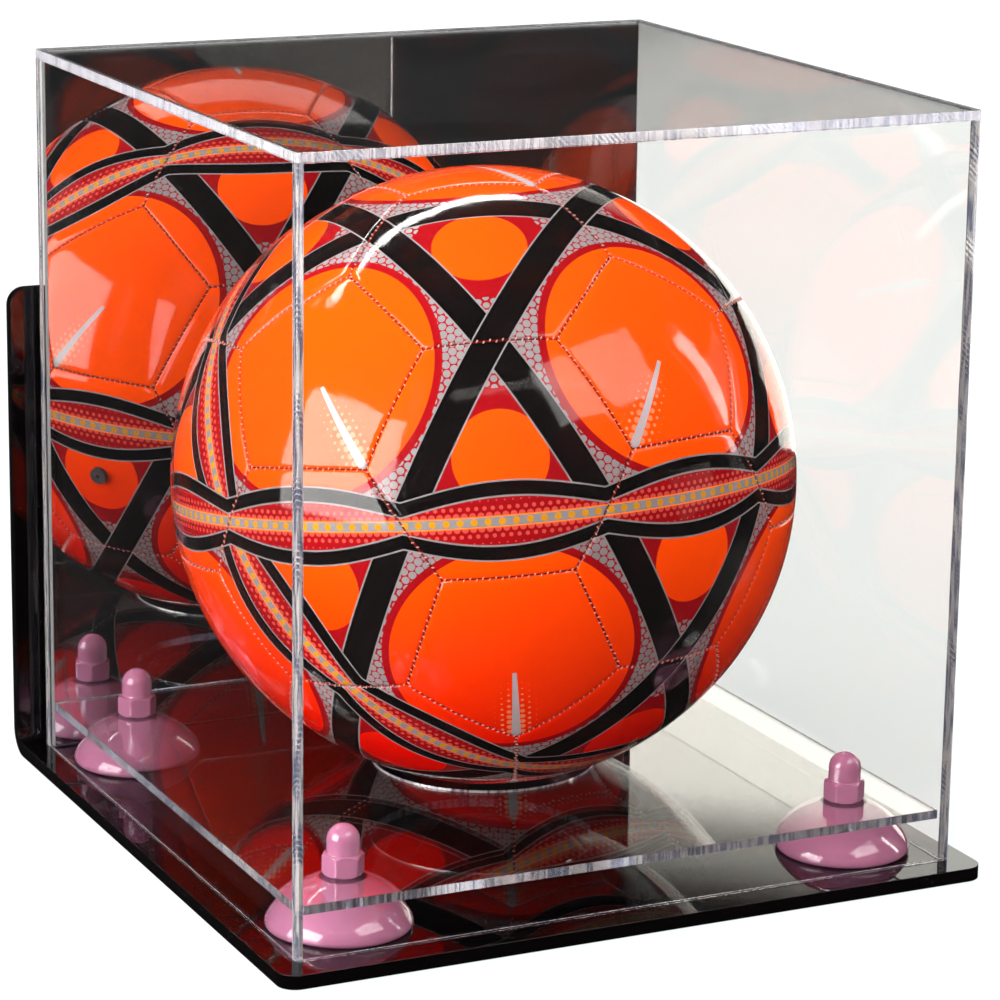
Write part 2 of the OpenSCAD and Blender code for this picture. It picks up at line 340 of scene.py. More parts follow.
@lru_cache(None)
def handling_marks() -> bpy.types.NodeTree:
    """Faint smears, hairline scratches and dust, as on polished sheet that has been handled.

    Returns:
        A group that puts out a roughness share, a height and a dust mask.
    """
    tree, g, ins, out = new_group(
        "handling_marks", {"Vector": (0.0, 0.0, 0.0), "Size": 1.0},
        {"Wear": "Float", "Height": "Float", "Dust": "Float"})
    smear_scale, patch_scale, ripple_scale, dust_scale = 9.0, 22.0, 14.0, 420.0
    hair_stretch = (40.0, 900.0, 40.0)
    smear_share, clean_share, scratch_height = 0.5, 0.93, -0.02
    at = g.scaled(ins["Vector"], ins["Size"])
    smear = g.ramp(g.noise(at, smear_scale, 4.0, 0.6), 0.45, 0.75)
    hair = g.ramp(g.noise(g.vector("MULTIPLY", at, hair_stretch), 1.0, 1.0), 0.66, 0.74)
    patch = g.ramp(g.noise(at, patch_scale, 1.0), 0.5, 0.62)
    scratch = g.math("MULTIPLY", hair, patch)
    cells = g.fit(g.node("TexVoronoi"), Vector=at, Scale=dust_scale)
    rare = g.math("GREATER_THAN", g.parts(cells.outputs["Color"])[0], clean_share)
    speck = g.ramp(cells.outputs["Distance"], 0.1, 0.2, 1.0, 0.0)
    wear = g.math("MAXIMUM", g.math("MULTIPLY", smear, smear_share), scratch)
    height = g.math("ADD", g.noise(at, ripple_scale, 1.0),
                    g.math("MULTIPLY", scratch, scratch_height))
    g.fit(out, Wear=wear, Height=height, Dust=g.math("MULTIPLY", rare, speck))
    return tree


@lru_cache(None)
def saw_marks() -> bpy.types.NodeTree:
    """Ribs that a saw and a scraper leave across the edge of a sheet, and streaks of painted
    reflection along it.

    Returns:
        A group that puts out a height, a mask of the deeper ribs and one of lighter streaks.
    """
    tree, g, ins, out = new_group(
        "saw_marks", {"Vector": (0.0, 0.0, 0.0), "Pitch": 0.0014},
        {"Height": "Float", "Ribs": "Float", "Streaks": "Float"})
    drift_scale, drift_pitches, half_pitch = 30.0, 3.0, 0.5
    fine_scale, strong_scale, fine_share = 5200.0, 45.0, 0.15
    streak_stretch = (900.0, 900.0, 80.0)
    along = g.vector("DOT_PRODUCT", ins["Vector"], (1.0, 1.0, 1.0))
    drift = g.math("MULTIPLY", g.noise(ins["Vector"], drift_scale, 2.0), drift_pitches)
    turns = g.math("ADD", g.math("DIVIDE", along, ins["Pitch"]), drift)
    rib = g.math("PINGPONG", turns, half_pitch)
    fine, uneven = (g.noise(g.xyz(g.math("MULTIPLY", along, scale)), 1.0, 1.0)
                    for scale in (fine_scale, strong_scale))
    strong = g.ramp(uneven, 0.4, 0.62)
    painted_streak = g.noise(g.vector("MULTIPLY", ins["Vector"], streak_stretch), 1.0, 1.0)
    height = g.math("ADD", g.math("MULTIPLY", rib, strong), g.math("MULTIPLY", fine, fine_share))
    g.fit(out, Height=height, Ribs=g.math("MULTIPLY", g.ramp(rib, 0.3, 0.45), strong),
          Streaks=g.ramp(painted_streak, 0.42, 0.56))
    return tree


@lru_cache(None)
def hex_dots() -> bpy.types.NodeTree:
    """Distance to the nearest point of a six-sided grid of dots.

    Returns:
        A group that puts out that distance, in pitches.
    """
    tree, g, ins, out = new_group(
        "hex_dots", {"X": 0.0, "Y": 0.0, "Pitch": 1.0}, {"Distance": "Float"})
    half_pitch, half_row = 0.5, math.sqrt(3) / 2
    x, y = (g.math("DIVIDE", ins[name], ins["Pitch"]) for name in ("X", "Y"))
    near_x, near_y = g.math("PINGPONG", x, half_pitch), g.math("PINGPONG", y, half_row)
    first = g.vector("LENGTH", g.xyz(near_x, near_y))
    second = g.vector("LENGTH", g.xyz(g.math("SUBTRACT", half_pitch, near_x),
                                      g.math("SUBTRACT", half_row, near_y)))
    g.fit(out, Distance=g.math("MINIMUM", first, second))
    return tree


@lru_cache(None)
def room_patches() -> bpy.types.NodeTree:
    """Windows and dark walls, as light that has run through the inside of a sheet meets them.

    Returns:
        A group that puts out how bright a patch is, and its colour.
    """
    tree, g, ins, out = new_group(
        "room_patches", {"Vector": (0.0, 0.0, 0.0), "Size": 1.0, "Light": 1.0},
        {"Strength": "Float", "Colour": "Color"})
    wall, apart = 0.04, (7.0, 3.0, 5.0)
    bluish, rosy = (0.62, 0.74, 1.0), (1.0, 0.86, 0.9)
    at = g.scaled(ins["Vector"], ins["Size"])
    window = g.ramp(g.noise(at, 1.0, 1.0), 0.46, 0.54, wall, 1.0)
    tone = g.ramp(g.noise(g.vector("ADD", at, apart), 1.0, 0.0), 0.4, 0.6)
    g.fit(out, Strength=g.math("MULTIPLY", window, ins["Light"]),
          Colour=g.blend(tone, bluish, rosy))
    return tree


@lru_cache(None)
def ribbon_place() -> bpy.types.NodeTree:
    """Where a point lies on one of the printed ribbons that go round the ball.

    Returns:
        A group that puts out the distance across and along the ribbon in millimetres, the
        closeness to the ribbon's pole, whether the point is on the ribbon, half the width of
        its field there, and half the opening between its borders.
    """
    tree, g, ins, out = new_group(
        "ribbon_place",
        {"Direction": (0.0, 0.0, 1.0), "Pole": (0.0, 0.0, 1.0), "Start": (1.0, 0.0, 0.0),
         "Quarter": (0.0, 1.0, 0.0), "Radius": 111.0, "Narrow": -1.5, "Swell": 0.0,
         "Border": 6.0},
        {"Across": "Float", "Along": "Float", "Pole Share": "Float", "Inside": "Float",
         "Field": "Float", "Opening": "Float"})
    half_waves = 5.0
    lean, up, ahead = (g.vector("DOT_PRODUCT", ins["Direction"], ins[name])
                       for name in ("Pole", "Quarter", "Start"))
    share = g.math("ABSOLUTE", lean)
    across = g.math("MULTIPLY", g.math("ARCSINE", share), ins["Radius"])
    turn = g.math("ARCTAN2", up, ahead)
    wave = g.math("ABSOLUTE", g.math("SINE", g.math("MULTIPLY", turn, half_waves)))
    opening = g.math("ADD", g.math("MULTIPLY", wave, ins["Swell"]), ins["Narrow"])
    field_half = g.math("MAXIMUM", opening, 0.0)
    edge = g.math("ADD", field_half, ins["Border"])
    g.fit(out, Across=across, Along=g.math("MULTIPLY", turn, ins["Radius"]), Pole_Share=share,
          Inside=g.math("LESS_THAN", across, edge), Field=field_half, Opening=opening)
    return tree


# ------------------------------------------------------------------- finishes


def paint(name: str, surface: Callable[[Graph], bpy.types.NodeSocket]) -> bpy.types.Material:
    """Makes a material.

    Args:
        name: Its name.
        surface: Sets up its nodes on a graph and returns the shader of its surface.

    Returns:
        The material.
    """
    made = bpy.data.materials.new(name)
    made.use_nodes = True
    made.node_tree.nodes.clear()
    g = Graph(made.node_tree)
    g.fit(g.node("OutputMaterial"), Surface=surface(g))
    return made


def bumped(g: Graph, principled: bpy.types.Node, height: Value, depth: float,
           strength: float = 1.0) -> None:
    """Gives a shader a bump.

    Args:
        g: The material's graph.
        principled: The shader's node.
        height: The height, between 0 and 1.
        depth: How deep it is, in metres.
        strength: How much of it shows.
    """
    bump = g.fit(g.node("Bump"), Strength=strength, Distance=depth, Height=height)
    g.fit(principled, Normal=bump.outputs[0])


@dataclass(frozen=True)
class Finish:
    """A material of the case.

    Attributes:
        name: The material's name.
        roughness: How matt it is.
    """

    name: str
    roughness: float = 0.1

    def surface(self, g: Graph) -> bpy.types.NodeSocket:
        """Starts the material with a Principled BSDF and returns its shader."""
        return self.shader(g, g.fit(g.node("BsdfPrincipled"), Roughness=self.roughness))

    def shader(self, g: Graph, principled: bpy.types.Node) -> bpy.types.NodeSocket:
        """Sets up the material's nodes.

        Args:
            g: The material's graph.
            principled: Its Principled BSDF.

        Returns:
            The shader that goes to the material's output.
        """
        raise NotImplementedError

    def roughen(self, g: Graph, principled: bpy.types.Node, mask: Value, more: float) -> None:
        """Makes the surface rougher where a mask is 1.

        Args:
            g: The material's graph.
            principled: Its Principled BSDF.
            mask: The mask.
            more: How much rougher it is there.
        """
        rough = g.ramp(mask, 0.0, 1.0, self.roughness, self.roughness + more)
        g.fit(principled, Roughness=rough)


@lru_cache(None)
def material(finish: Finish) -> bpy.types.Material:
    """Makes a finish's material once and returns it."""
    return paint(finish.name, finish.surface)


@dataclass(frozen=True)
class ClearAcrylic(Finish):
    """Clear sheet; lamps reach what it covers.

    Attributes:
        tint: The little colour that the sheet has.
        ribbed: True on a sawn edge.
        clearness: How much of it is see-through; the rest is frosted.
        rib_depth: Depth of the ribs of a sawn edge, in metres.
        rib_pitch: Their pitch, in metres.
        rib_wear: How much rougher their crests are.
        painted_streak: The colour of the darker streaks of a sawn edge, a painted reflection.
        ripple: Unevenness of a polished face, in metres.
        dust: The colour of dust on a polished face.
        dusty: How much of the dust shows.
        passed: The light that passes to what the sheet covers.
        index: Index of refraction.
    """

    tint: Colour = (0.993, 0.985, 0.972)
    ribbed: bool = False
    clearness: float = 1.0
    rib_depth: float = 0.00012
    rib_pitch: float = 0.002
    rib_wear: float = 0.15
    painted_streak: Colour = (0.24, 0.27, 0.4)
    ripple: float = 0.0001
    dust: Colour = (0.86, 0.86, 0.86)
    dusty: float = 0.25
    passed: Colour = (0.95, 0.955, 0.95)
    index: float = 1.49

    def shader(self, g: Graph, principled: bpy.types.Node) -> bpy.types.NodeSocket:
        """Glass that bends light, with a plain pass for shadow rays.

        Args:
            g: The material's graph.
            principled: Its Principled BSDF.

        Returns:
            The shader that goes to the material's output.
        """
        g.fit(principled, IOR=self.index, Transmission_Weight=self.clearness)
        if self.ribbed:
            ribs = g.group(saw_marks(), Vector=g.place(), Pitch=self.rib_pitch).outputs
            bumped(g, principled, ribs["Height"], self.rib_depth, 0.5)
            # Painted reflection: dark bluish streaks along a sawn edge; the rib crests turn white,
            # partly frosting and partly painted highlight.
            shade = g.blend(ribs["Streaks"], self.painted_streak, self.tint)
            shade = g.blend(ribs["Ribs"], shade, WHITE)
            self.roughen(g, principled, ribs["Ribs"], self.rib_wear)
        else:
            marks = g.group(handling_marks(), Vector=g.place(), Size=1.0).outputs
            bumped(g, principled, marks["Height"], self.ripple, 0.1)
            shade = g.blend(g.math("MULTIPLY", marks["Dust"], self.dusty), self.tint, self.dust)
        g.fit(principled, Base_Color=shade)
        clear = g.fit(g.node("BsdfTransparent"), Color=self.passed)
        shadow = g.node("LightPath").outputs["Is Shadow Ray"]
        return g.swap(shadow, principled, clear).outputs[0]


@dataclass(frozen=True)
class GlossPlastic(Finish):
    """Glossy plastic or lacquer in one colour, with smears and dust.

    Attributes:
        colour: Its colour.
        second: The colour that it drifts to.
        drift: Scale of that drift.
        wear: How much rougher it is where it is worn.
        coat: Weight of a clear coat.
        coat_roughness: How matt that coat is.
        ripple: Depth of its surface's unevenness, in metres.
        size: Scale of its marks.
        dust: The colour of the dust on it.
        dusty: How much of the dust shows.
        index: Index of refraction, for the strength of its gloss.
    """

    colour: Colour = (0.5, 0.5, 0.5)
    second: Colour = (0.45, 0.45, 0.45)
    drift: float = 18.0
    wear: float = 0.06
    coat: float = 0.0
    coat_roughness: float = 0.02
    ripple: float = 0.0002
    size: float = 1.0
    dust: Colour = (0.35, 0.34, 0.33)
    dusty: float = 0.3
    index: float = 1.49

    def shader(self, g: Graph, principled: bpy.types.Node) -> bpy.types.NodeSocket:
        """A plain gloss surface with its marks.

        Args:
            g: The material's graph.
            principled: Its Principled BSDF.

        Returns:
            The shader that goes to the material's output.
        """
        at = g.place()
        marks = g.group(handling_marks(), Vector=at, Size=self.size).outputs
        share = g.ramp(g.noise(at, self.drift * self.size), 0.35, 0.65)
        colour = g.blend(share, self.colour, self.second)
        colour = g.blend(g.math("MULTIPLY", marks["Dust"], self.dusty), colour, self.dust)
        g.fit(principled, Base_Color=colour, IOR=self.index, Coat_Weight=self.coat,
              Coat_Roughness=self.coat_roughness)
        self.roughen(g, principled, marks["Wear"], self.wear)
        bumped(g, principled, marks["Height"], self.ripple, 0.3)
        return principled.outputs[0]


@dataclass(frozen=True)
class Metal(Finish):
    """Bright metal with a fine grain.

    Attributes:
        colour: Its colour.
        dim: How dark its grain is, as a share of that colour.
        grain: How much rougher its grain is.
        stretch: The grain's scale along each axis.
    """

    colour: Colour = (0.6, 0.6, 0.6)
    dim: float = 0.85
    grain: float = 0.15
    stretch: tuple[float, float, float] = (900.0, 900.0, 60.0)

    def shader(self, g: Graph, principled: bpy.types.Node) -> bpy.types.NodeSocket:
        """Metal whose roughness follows its grain.

        Args:
            g: The material's graph.
            principled: Its Principled BSDF.

        Returns:
            The shader that goes to the material's output.
        """
        grain = g.noise(g.vector("MULTIPLY", g.place(), self.stretch), 1.0, 2.0)
        dim = tuple(self.dim * part for part in self.colour)
        rough = g.ramp(grain, 0.3, 0.7, self.roughness, self.roughness + self.grain)
        g.fit(principled, Metallic=1.0, Base_Color=g.blend(grain, self.colour, dim),
              Roughness=rough)
        return principled.outputs[0]


@dataclass(frozen=True)
class Matt(Finish):
    """Paint, tape, cloth or rubber, with a small weave or speckle.

    Attributes:
        colour: Its colour.
        second: The colour of its speckle.
        scale: Scale of the speckle.
        depth: Depth of the speckle, in metres.
        woven: True for threads that cross.
    """

    colour: Colour = (0.5, 0.5, 0.5)
    second: Colour = (0.4, 0.4, 0.4)
    scale: float = 600.0
    depth: float = 0.0001
    woven: bool = False

    def shader(self, g: Graph, principled: bpy.types.Node) -> bpy.types.NodeSocket:
        """A matt surface whose colour and bump share one pattern.

        Args:
            g: The material's graph.
            principled: Its Principled BSDF.

        Returns:
            The shader that goes to the material's output.
        """
        if self.woven:
            x, y, z = g.parts(g.scaled(g.place(), self.scale))
            warp = g.math("SINE", g.math("ADD", x, z))
            weft = g.math("SINE", g.math("SUBTRACT", y, z))
            grain = g.ramp(g.math("MULTIPLY", warp, weft), -1.0, 1.0)
        else:
            grain = g.noise(g.place(), self.scale, 3.0)
        g.fit(principled, Base_Color=g.blend(grain, self.colour, self.second))
        bumped(g, principled, grain, self.depth)
        return principled.outputs[0]


@dataclass(frozen=True)
class BallPrint(Finish):
    """The glossy printed cover of the ball: ribbons round six great circles, on orange.

    Attributes:
        kind: The panels that wear it.
        centre: The ball's centre, in metres.
        radius: The ball's radius.
        poles: The six directions that the ribbons go round.
        orange: The colour of the twelve round fields.
        shaded_orange: Their colour at the bottom of the ball; the fields blend into it downwards
            as painted shade.
        black: The colour of the ribbons' borders.
        red: The colour between fields and ribbons.
        bright_red: The colour of the ribbons' dots.
        silver: The colour of thin lines and honeycomb.
        yellow: The colour of the ribbons' middle dots.
        bright_line: The colour of the line beside the ribbons' middle.
        pale: The colour of the pentagons' dots.
        dash: The colour of the pentagons' dash.
        seam: The colour of the sunk edges of the panels: painted shade, darker where the surface
            lies deeper in a seam.
        field_angle: Half the angle that an orange field takes in, in degrees.
        border: Width of a ribbon's black border.
        narrows: Half of each ribbon's opening where it crosses others; none below 0.
        swells: How much wider each opening gets between its crossings.
        dot_pitch: Pitch of the dots.
        cell_pitch: Pitch of the honeycomb.
        foil_wear: How much rougher the silver parts are.
        coat: Weight of the clear coat.
        coat_roughness: How matt that coat is.
        index: Index of refraction.
        peel: Depth of the unevenness under the gloss, in metres.
    """

    kind: PanelKind = PanelKind.HEXAGON
    centre: tuple[float, float, float] = (0.0, 0.0, 0.0)
    radius: float = 111.0
    poles: tuple[tuple[float, float, float], ...] = ()
    orange: Colour = (0.93, 0.07, 0.0)
    shaded_orange: Colour = (0.75, 0.003, 0.0)
    black: Colour = (0.004, 0.003, 0.003)
    red: Colour = (0.26, 0.003, 0.006)
    bright_red: Colour = (0.5, 0.06, 0.045)
    silver: Colour = (0.21, 0.2, 0.21)
    yellow: Colour = (0.5, 0.22, 0.008)
    bright_line: Colour = (0.95, 0.19, 0.0)
    pale: Colour = (0.7, 0.2, 0.09)
    dash: Colour = (0.4, 0.36, 0.38)
    seam: Colour = (0.28, 0.012, 0.004)
    field_angle: float = 22.0
    border: float = 5.6
    narrows: tuple[float, ...] = (-1.5, -1.5, -1.5, -1.5, 2.4, 2.4)
    swells: tuple[float, ...] = (0.0, 0.0, 0.0, 0.0, 5.5, 5.5)
    dot_pitch: float = 2.7
    cell_pitch: float = 2.9
    foil_wear: float = 0.15
    coat: float = 0.35
    coat_roughness: float = 0.03
    index: float = 1.5
    peel: float = 0.0004

    def ribbon(self, g: Graph, direction: bpy.types.NodeSocket) -> dict[str, bpy.types.NodeSocket]:
        """Finds the topmost ribbon at each point.

        Args:
            g: The material's graph.
            direction: The direction from the ball's centre.

        Returns:
            Its place sockets by name, and the closeness to the nearest pole.
        """
        found: dict[str, bpy.types.NodeSocket] = {}
        for number, pole in enumerate(self.poles):
            axis = Vector(pole)
            other = Vector(self.poles[(number + 1) % len(self.poles)])
            start = axis.cross(other).normalized()
            quarter = axis.cross(start)
            at = g.group(ribbon_place(), Direction=direction, Pole=axis[:], Start=start[:],
                         Quarter=quarter[:], Radius=self.radius, Border=self.border,
                         Narrow=self.narrows[number], Swell=self.swells[number])
            here = {s.name: s for s in at.outputs}
            if not found:
                found = here
                continue
            inside = here["Inside"]
            for name in ("Across", "Along", "Field", "Opening"):
                found[name] = g.mix(inside, found[name], here[name])
            for name in ("Pole Share", "Inside"):
                found[name] = g.math("MAXIMUM", found[name], here[name])
        return found

    def ribbon_colour(self, g: Graph, at: dict[str, bpy.types.NodeSocket]) -> bpy.types.NodeSocket:
        """Colours a ribbon: dotted middle, red field with fading dots, thin line, black border.

        Args:
            g: The material's graph.
            at: The ribbon's place sockets.

        Returns:
            The colour.
        """
        middle_half, line_place, line_half = 1.55, 1.75, 0.2
        spot_step, spot_r, thin_line, rim_line = 2.3, 1.2, 0.6, 0.55
        across, along = at["Across"], at["Along"]
        dots = g.group(hex_dots(), X=along, Y=across, Pitch=self.dot_pitch).outputs[0]
        size = g.ramp(across, 1.5, 7.0, 0.46, 0.1)
        colour = g.blend(g.math("LESS_THAN", dots, size), self.red, self.bright_red)
        middle = g.vector("LENGTH", g.xyz(across, g.math("PINGPONG", along, spot_step)))
        strip = g.blend(g.math("LESS_THAN", middle, spot_r), self.silver, self.yellow)
        colour = g.blend(g.math("LESS_THAN", across, middle_half), colour, strip)
        line = g.math("COMPARE", across, line_place, line_half)
        colour = g.blend(line, colour, self.bright_line)
        past = g.math("SUBTRACT", across, at["Opening"])
        colour = g.blend(g.math("GREATER_THAN", past, 0.0), colour, self.silver)
        colour = g.blend(g.math("GREATER_THAN", past, thin_line), colour, self.black)
        rim = g.math("SUBTRACT", g.math("ADD", at["Field"], self.border), across)
        return g.blend(g.math("LESS_THAN", rim, rim_line), colour, self.silver)

    def hexagon_print(self, g: Graph, u: Value, v: Value, share: Value,
                      shaded_field_colour: Value) -> tuple[bpy.types.NodeSocket, bpy.types.NodeSocket]:
        """The print of a hexagon: parts of round orange fields, and honeycomb between them.

        Args:
            g: The material's graph.
            u: The distance from the panel's middle towards a neighbouring pentagon.
            v: The distance across that.
            share: The closeness to the nearest pole.
            shaded_field_colour: The orange fields' colour, with painted shade towards the bottom.

        Returns:
            The colour and the mask of its silver parts.
        """
        inner_r, start_r, foil_r, full_r, gap_angle = 16.0, 22.0, 23.0, 38.0, 1.4
        cell = g.group(hex_dots(), X=u, Y=v, Pitch=self.cell_pitch).outputs[0]
        reach = g.vector("LENGTH", g.xyz(u, v))
        disc_end, gap_end = (math.cos(math.radians(angle)) for angle in (
            self.field_angle, self.field_angle + gap_angle))
        outer = g.math("MULTIPLY", g.math("GREATER_THAN", reach, foil_r),
                       g.math("LESS_THAN", share, gap_end))
        size = g.ramp(reach, start_r, full_r, 0.36, 0.47)
        foil = g.math("MULTIPLY", g.math("LESS_THAN", cell, size), outer)
        orange = g.math("MAXIMUM", g.math("GREATER_THAN", share, disc_end),
                        g.math("LESS_THAN", reach, inner_r))
        return g.blend(orange, g.blend(foil, self.red, self.silver), shaded_field_colour), foil

    def pentagon_print(self, g: Graph, u: Value, v: Value,
                       shaded_field_colour: Value) -> tuple[bpy.types.NodeSocket, bpy.types.NodeSocket]:
        """The print of a pentagon: a silver dash and fading dots, on orange.

        Args:
            g: The material's graph.
            u: The distance from the panel's middle along the dash.
            v: The distance across it.
            shaded_field_colour: The orange field's colour, with painted shade towards the bottom.

        Returns:
            The colour and the mask of its silver parts.
        """
        dash_start, dots_start, dots_full = 5.0, 8.0, 26.0
        off = g.math("ABSOLUTE", v)
        dash = g.math("MULTIPLY", g.math("LESS_THAN", off, g.ramp(u, 4.0, 38.0, 0.7, 1.7)),
                      g.math("GREATER_THAN", u, dash_start))
        dots = g.group(hex_dots(), X=u, Y=v, Pitch=self.dot_pitch).outputs[0]
        size = g.math("MULTIPLY", g.ramp(off, 1.0, 8.0, 0.45, 0.0),
                      g.ramp(u, dots_start, dots_full, 0.1, 1.0))
        spots = g.math("MULTIPLY", g.math("LESS_THAN", dots, size),
                       g.math("GREATER_THAN", u, dots_start))
        return g.blend(dash, g.blend(spots, shaded_field_colour, self.pale), self.dash), dash

    def shader(self, g: Graph, principled: bpy.types.Node) -> bpy.types.NodeSocket:
        """Print under a clear gloss, with silver parts as foil, and with painted shade in the
        seams and towards the bottom.

        Args:
            g: The material's graph.
            principled: Its Principled BSDF.

        Returns:
            The shader that goes to the material's output.
        """
        seam_shade_start, seam_shade_end = 0.0003, 0.0008
        peel_scale, crease_scale, crease_share = 90.0, 420.0, 0.12
        at = g.place()
        direction = g.vector("NORMALIZE", g.vector("SUBTRACT", at, self.centre))
        ribbon = self.ribbon(g, direction)
        # Painted shade: the orange fields grow redder and darker towards the bottom of the ball.
        height = g.ramp(g.parts(direction)[2], -0.72, 0.0)
        shaded_field_colour = g.blend(height, self.shaded_orange, self.orange)
        u, v, _ = g.parts(g.node("UVMap", uv_map="panel").outputs[0])
        if self.kind is PanelKind.HEXAGON:
            colour, foil = self.hexagon_print(g, u, v, ribbon["Pole Share"], shaded_field_colour)
        else:
            colour, foil = self.pentagon_print(g, u, v, shaded_field_colour)
        ink = ribbon["Inside"]
        colour = g.blend(ink, colour, self.ribbon_colour(g, ribbon))
        # Painted shade: the print darkens to the seam colour where the surface is sunk into a
        # seam.
        sunk = g.math("SUBTRACT", self.radius * MM, g.vector("DISTANCE", at, self.centre))
        colour = g.blend(g.ramp(sunk, seam_shade_start, seam_shade_end), colour, self.seam)
        g.fit(principled, Base_Color=colour, IOR=self.index, Coat_Weight=self.coat,
              Coat_Roughness=self.coat_roughness)
        shine = g.math("MULTIPLY", foil, g.math("SUBTRACT", 1.0, ink))
        self.roughen(g, principled, shine, self.foil_wear)
        crease = g.math("MULTIPLY", g.noise(at, crease_scale, 2.0), crease_share)
        bumped(g, principled, g.math("ADD", g.noise(at, peel_scale, 2.0), crease), self.peel,
               0.35)
        return principled.outputs[0]


@dataclass(frozen=True)
class Finishes:
    """All finishes of the case, by use."""

    clear: Finish = ClearAcrylic("clear_acrylic", 0.0)
    clear_edge: Finish = ClearAcrylic("clear_acrylic_edge", 0.012, ribbed=True, clearness=0.79,
                                      rib_depth=0.00025)
    top_edge: Finish = ClearAcrylic("cover_top_acrylic_edge", 0.012, ribbed=True, clearness=0.87,
                                    rib_depth=0.0003, painted_streak=(0.55, 0.57, 0.62))
    sawn_edge: Finish = ClearAcrylic("platform_acrylic_edge", 0.03, ribbed=True, clearness=0.91,
                                     rib_depth=0.0002, rib_pitch=0.0009)
    seat_edge: Finish = ClearAcrylic("seat_acrylic_edge", 0.05, ribbed=True, clearness=0.6,
                                     rib_depth=0.00003)
    black: Finish = GlossPlastic("black_acrylic", 0.015, colour=(0.0007, 0.0005, 0.0006),
                                 second=(0.001, 0.0007, 0.0008), wear=0.04, dusty=0.04)
    # Painted highlight: a lighter grey on the upward bevels of the base's top edges, where light
    # catches them.
    painted_edge_highlight: Finish = GlossPlastic("black_acrylic_painted_highlight", 0.2, colour=(0.05, 0.045, 0.045),
                                      second=(0.012, 0.011, 0.011), wear=0.2, size=12.0)
    pink: Finish = GlossPlastic("pink_gloss", 0.03, colour=(0.356, 0.138, 0.237),
                                second=(0.325, 0.119, 0.209), wear=0.04, coat=1.0,
                                index=1.75, size=3.0, dusty=0.1)
    steel: Finish = Metal("screw_steel", 0.22)
    silvering: Finish = Metal("mirror", 0.0, colour=(0.8, 0.81, 0.81), grain=0.004,
                              stretch=(60.0, 60.0, 60.0))
    backing: Finish = Matt("mirror_backing", 0.6, colour=(0.16, 0.165, 0.17),
                           second=(0.13, 0.135, 0.14), scale=300.0, depth=0.00005)
    tape: Finish = Matt("tape", 0.7, colour=(0.8, 0.8, 0.77), second=(0.7, 0.7, 0.66),
                        scale=900.0)
    thread: Finish = Matt("seam_thread", 0.45, colour=(0.6, 0.3, 0.27),
                          second=(0.45, 0.17, 0.14), scale=2500.0, depth=0.00012)
    cloth: Finish = Matt("lining_cloth", 0.9, colour=(0.8, 0.8, 0.78),
                         second=(0.62, 0.62, 0.6), scale=4200.0, depth=0.0002, woven=True)
    rubber: Finish = Matt("bladder_rubber", 0.5, colour=(0.03, 0.03, 0.03),
                          second=(0.05, 0.05, 0.05), scale=500.0)


FINISHES = Finishes()


# ---------------------------------------------------------------- work bench


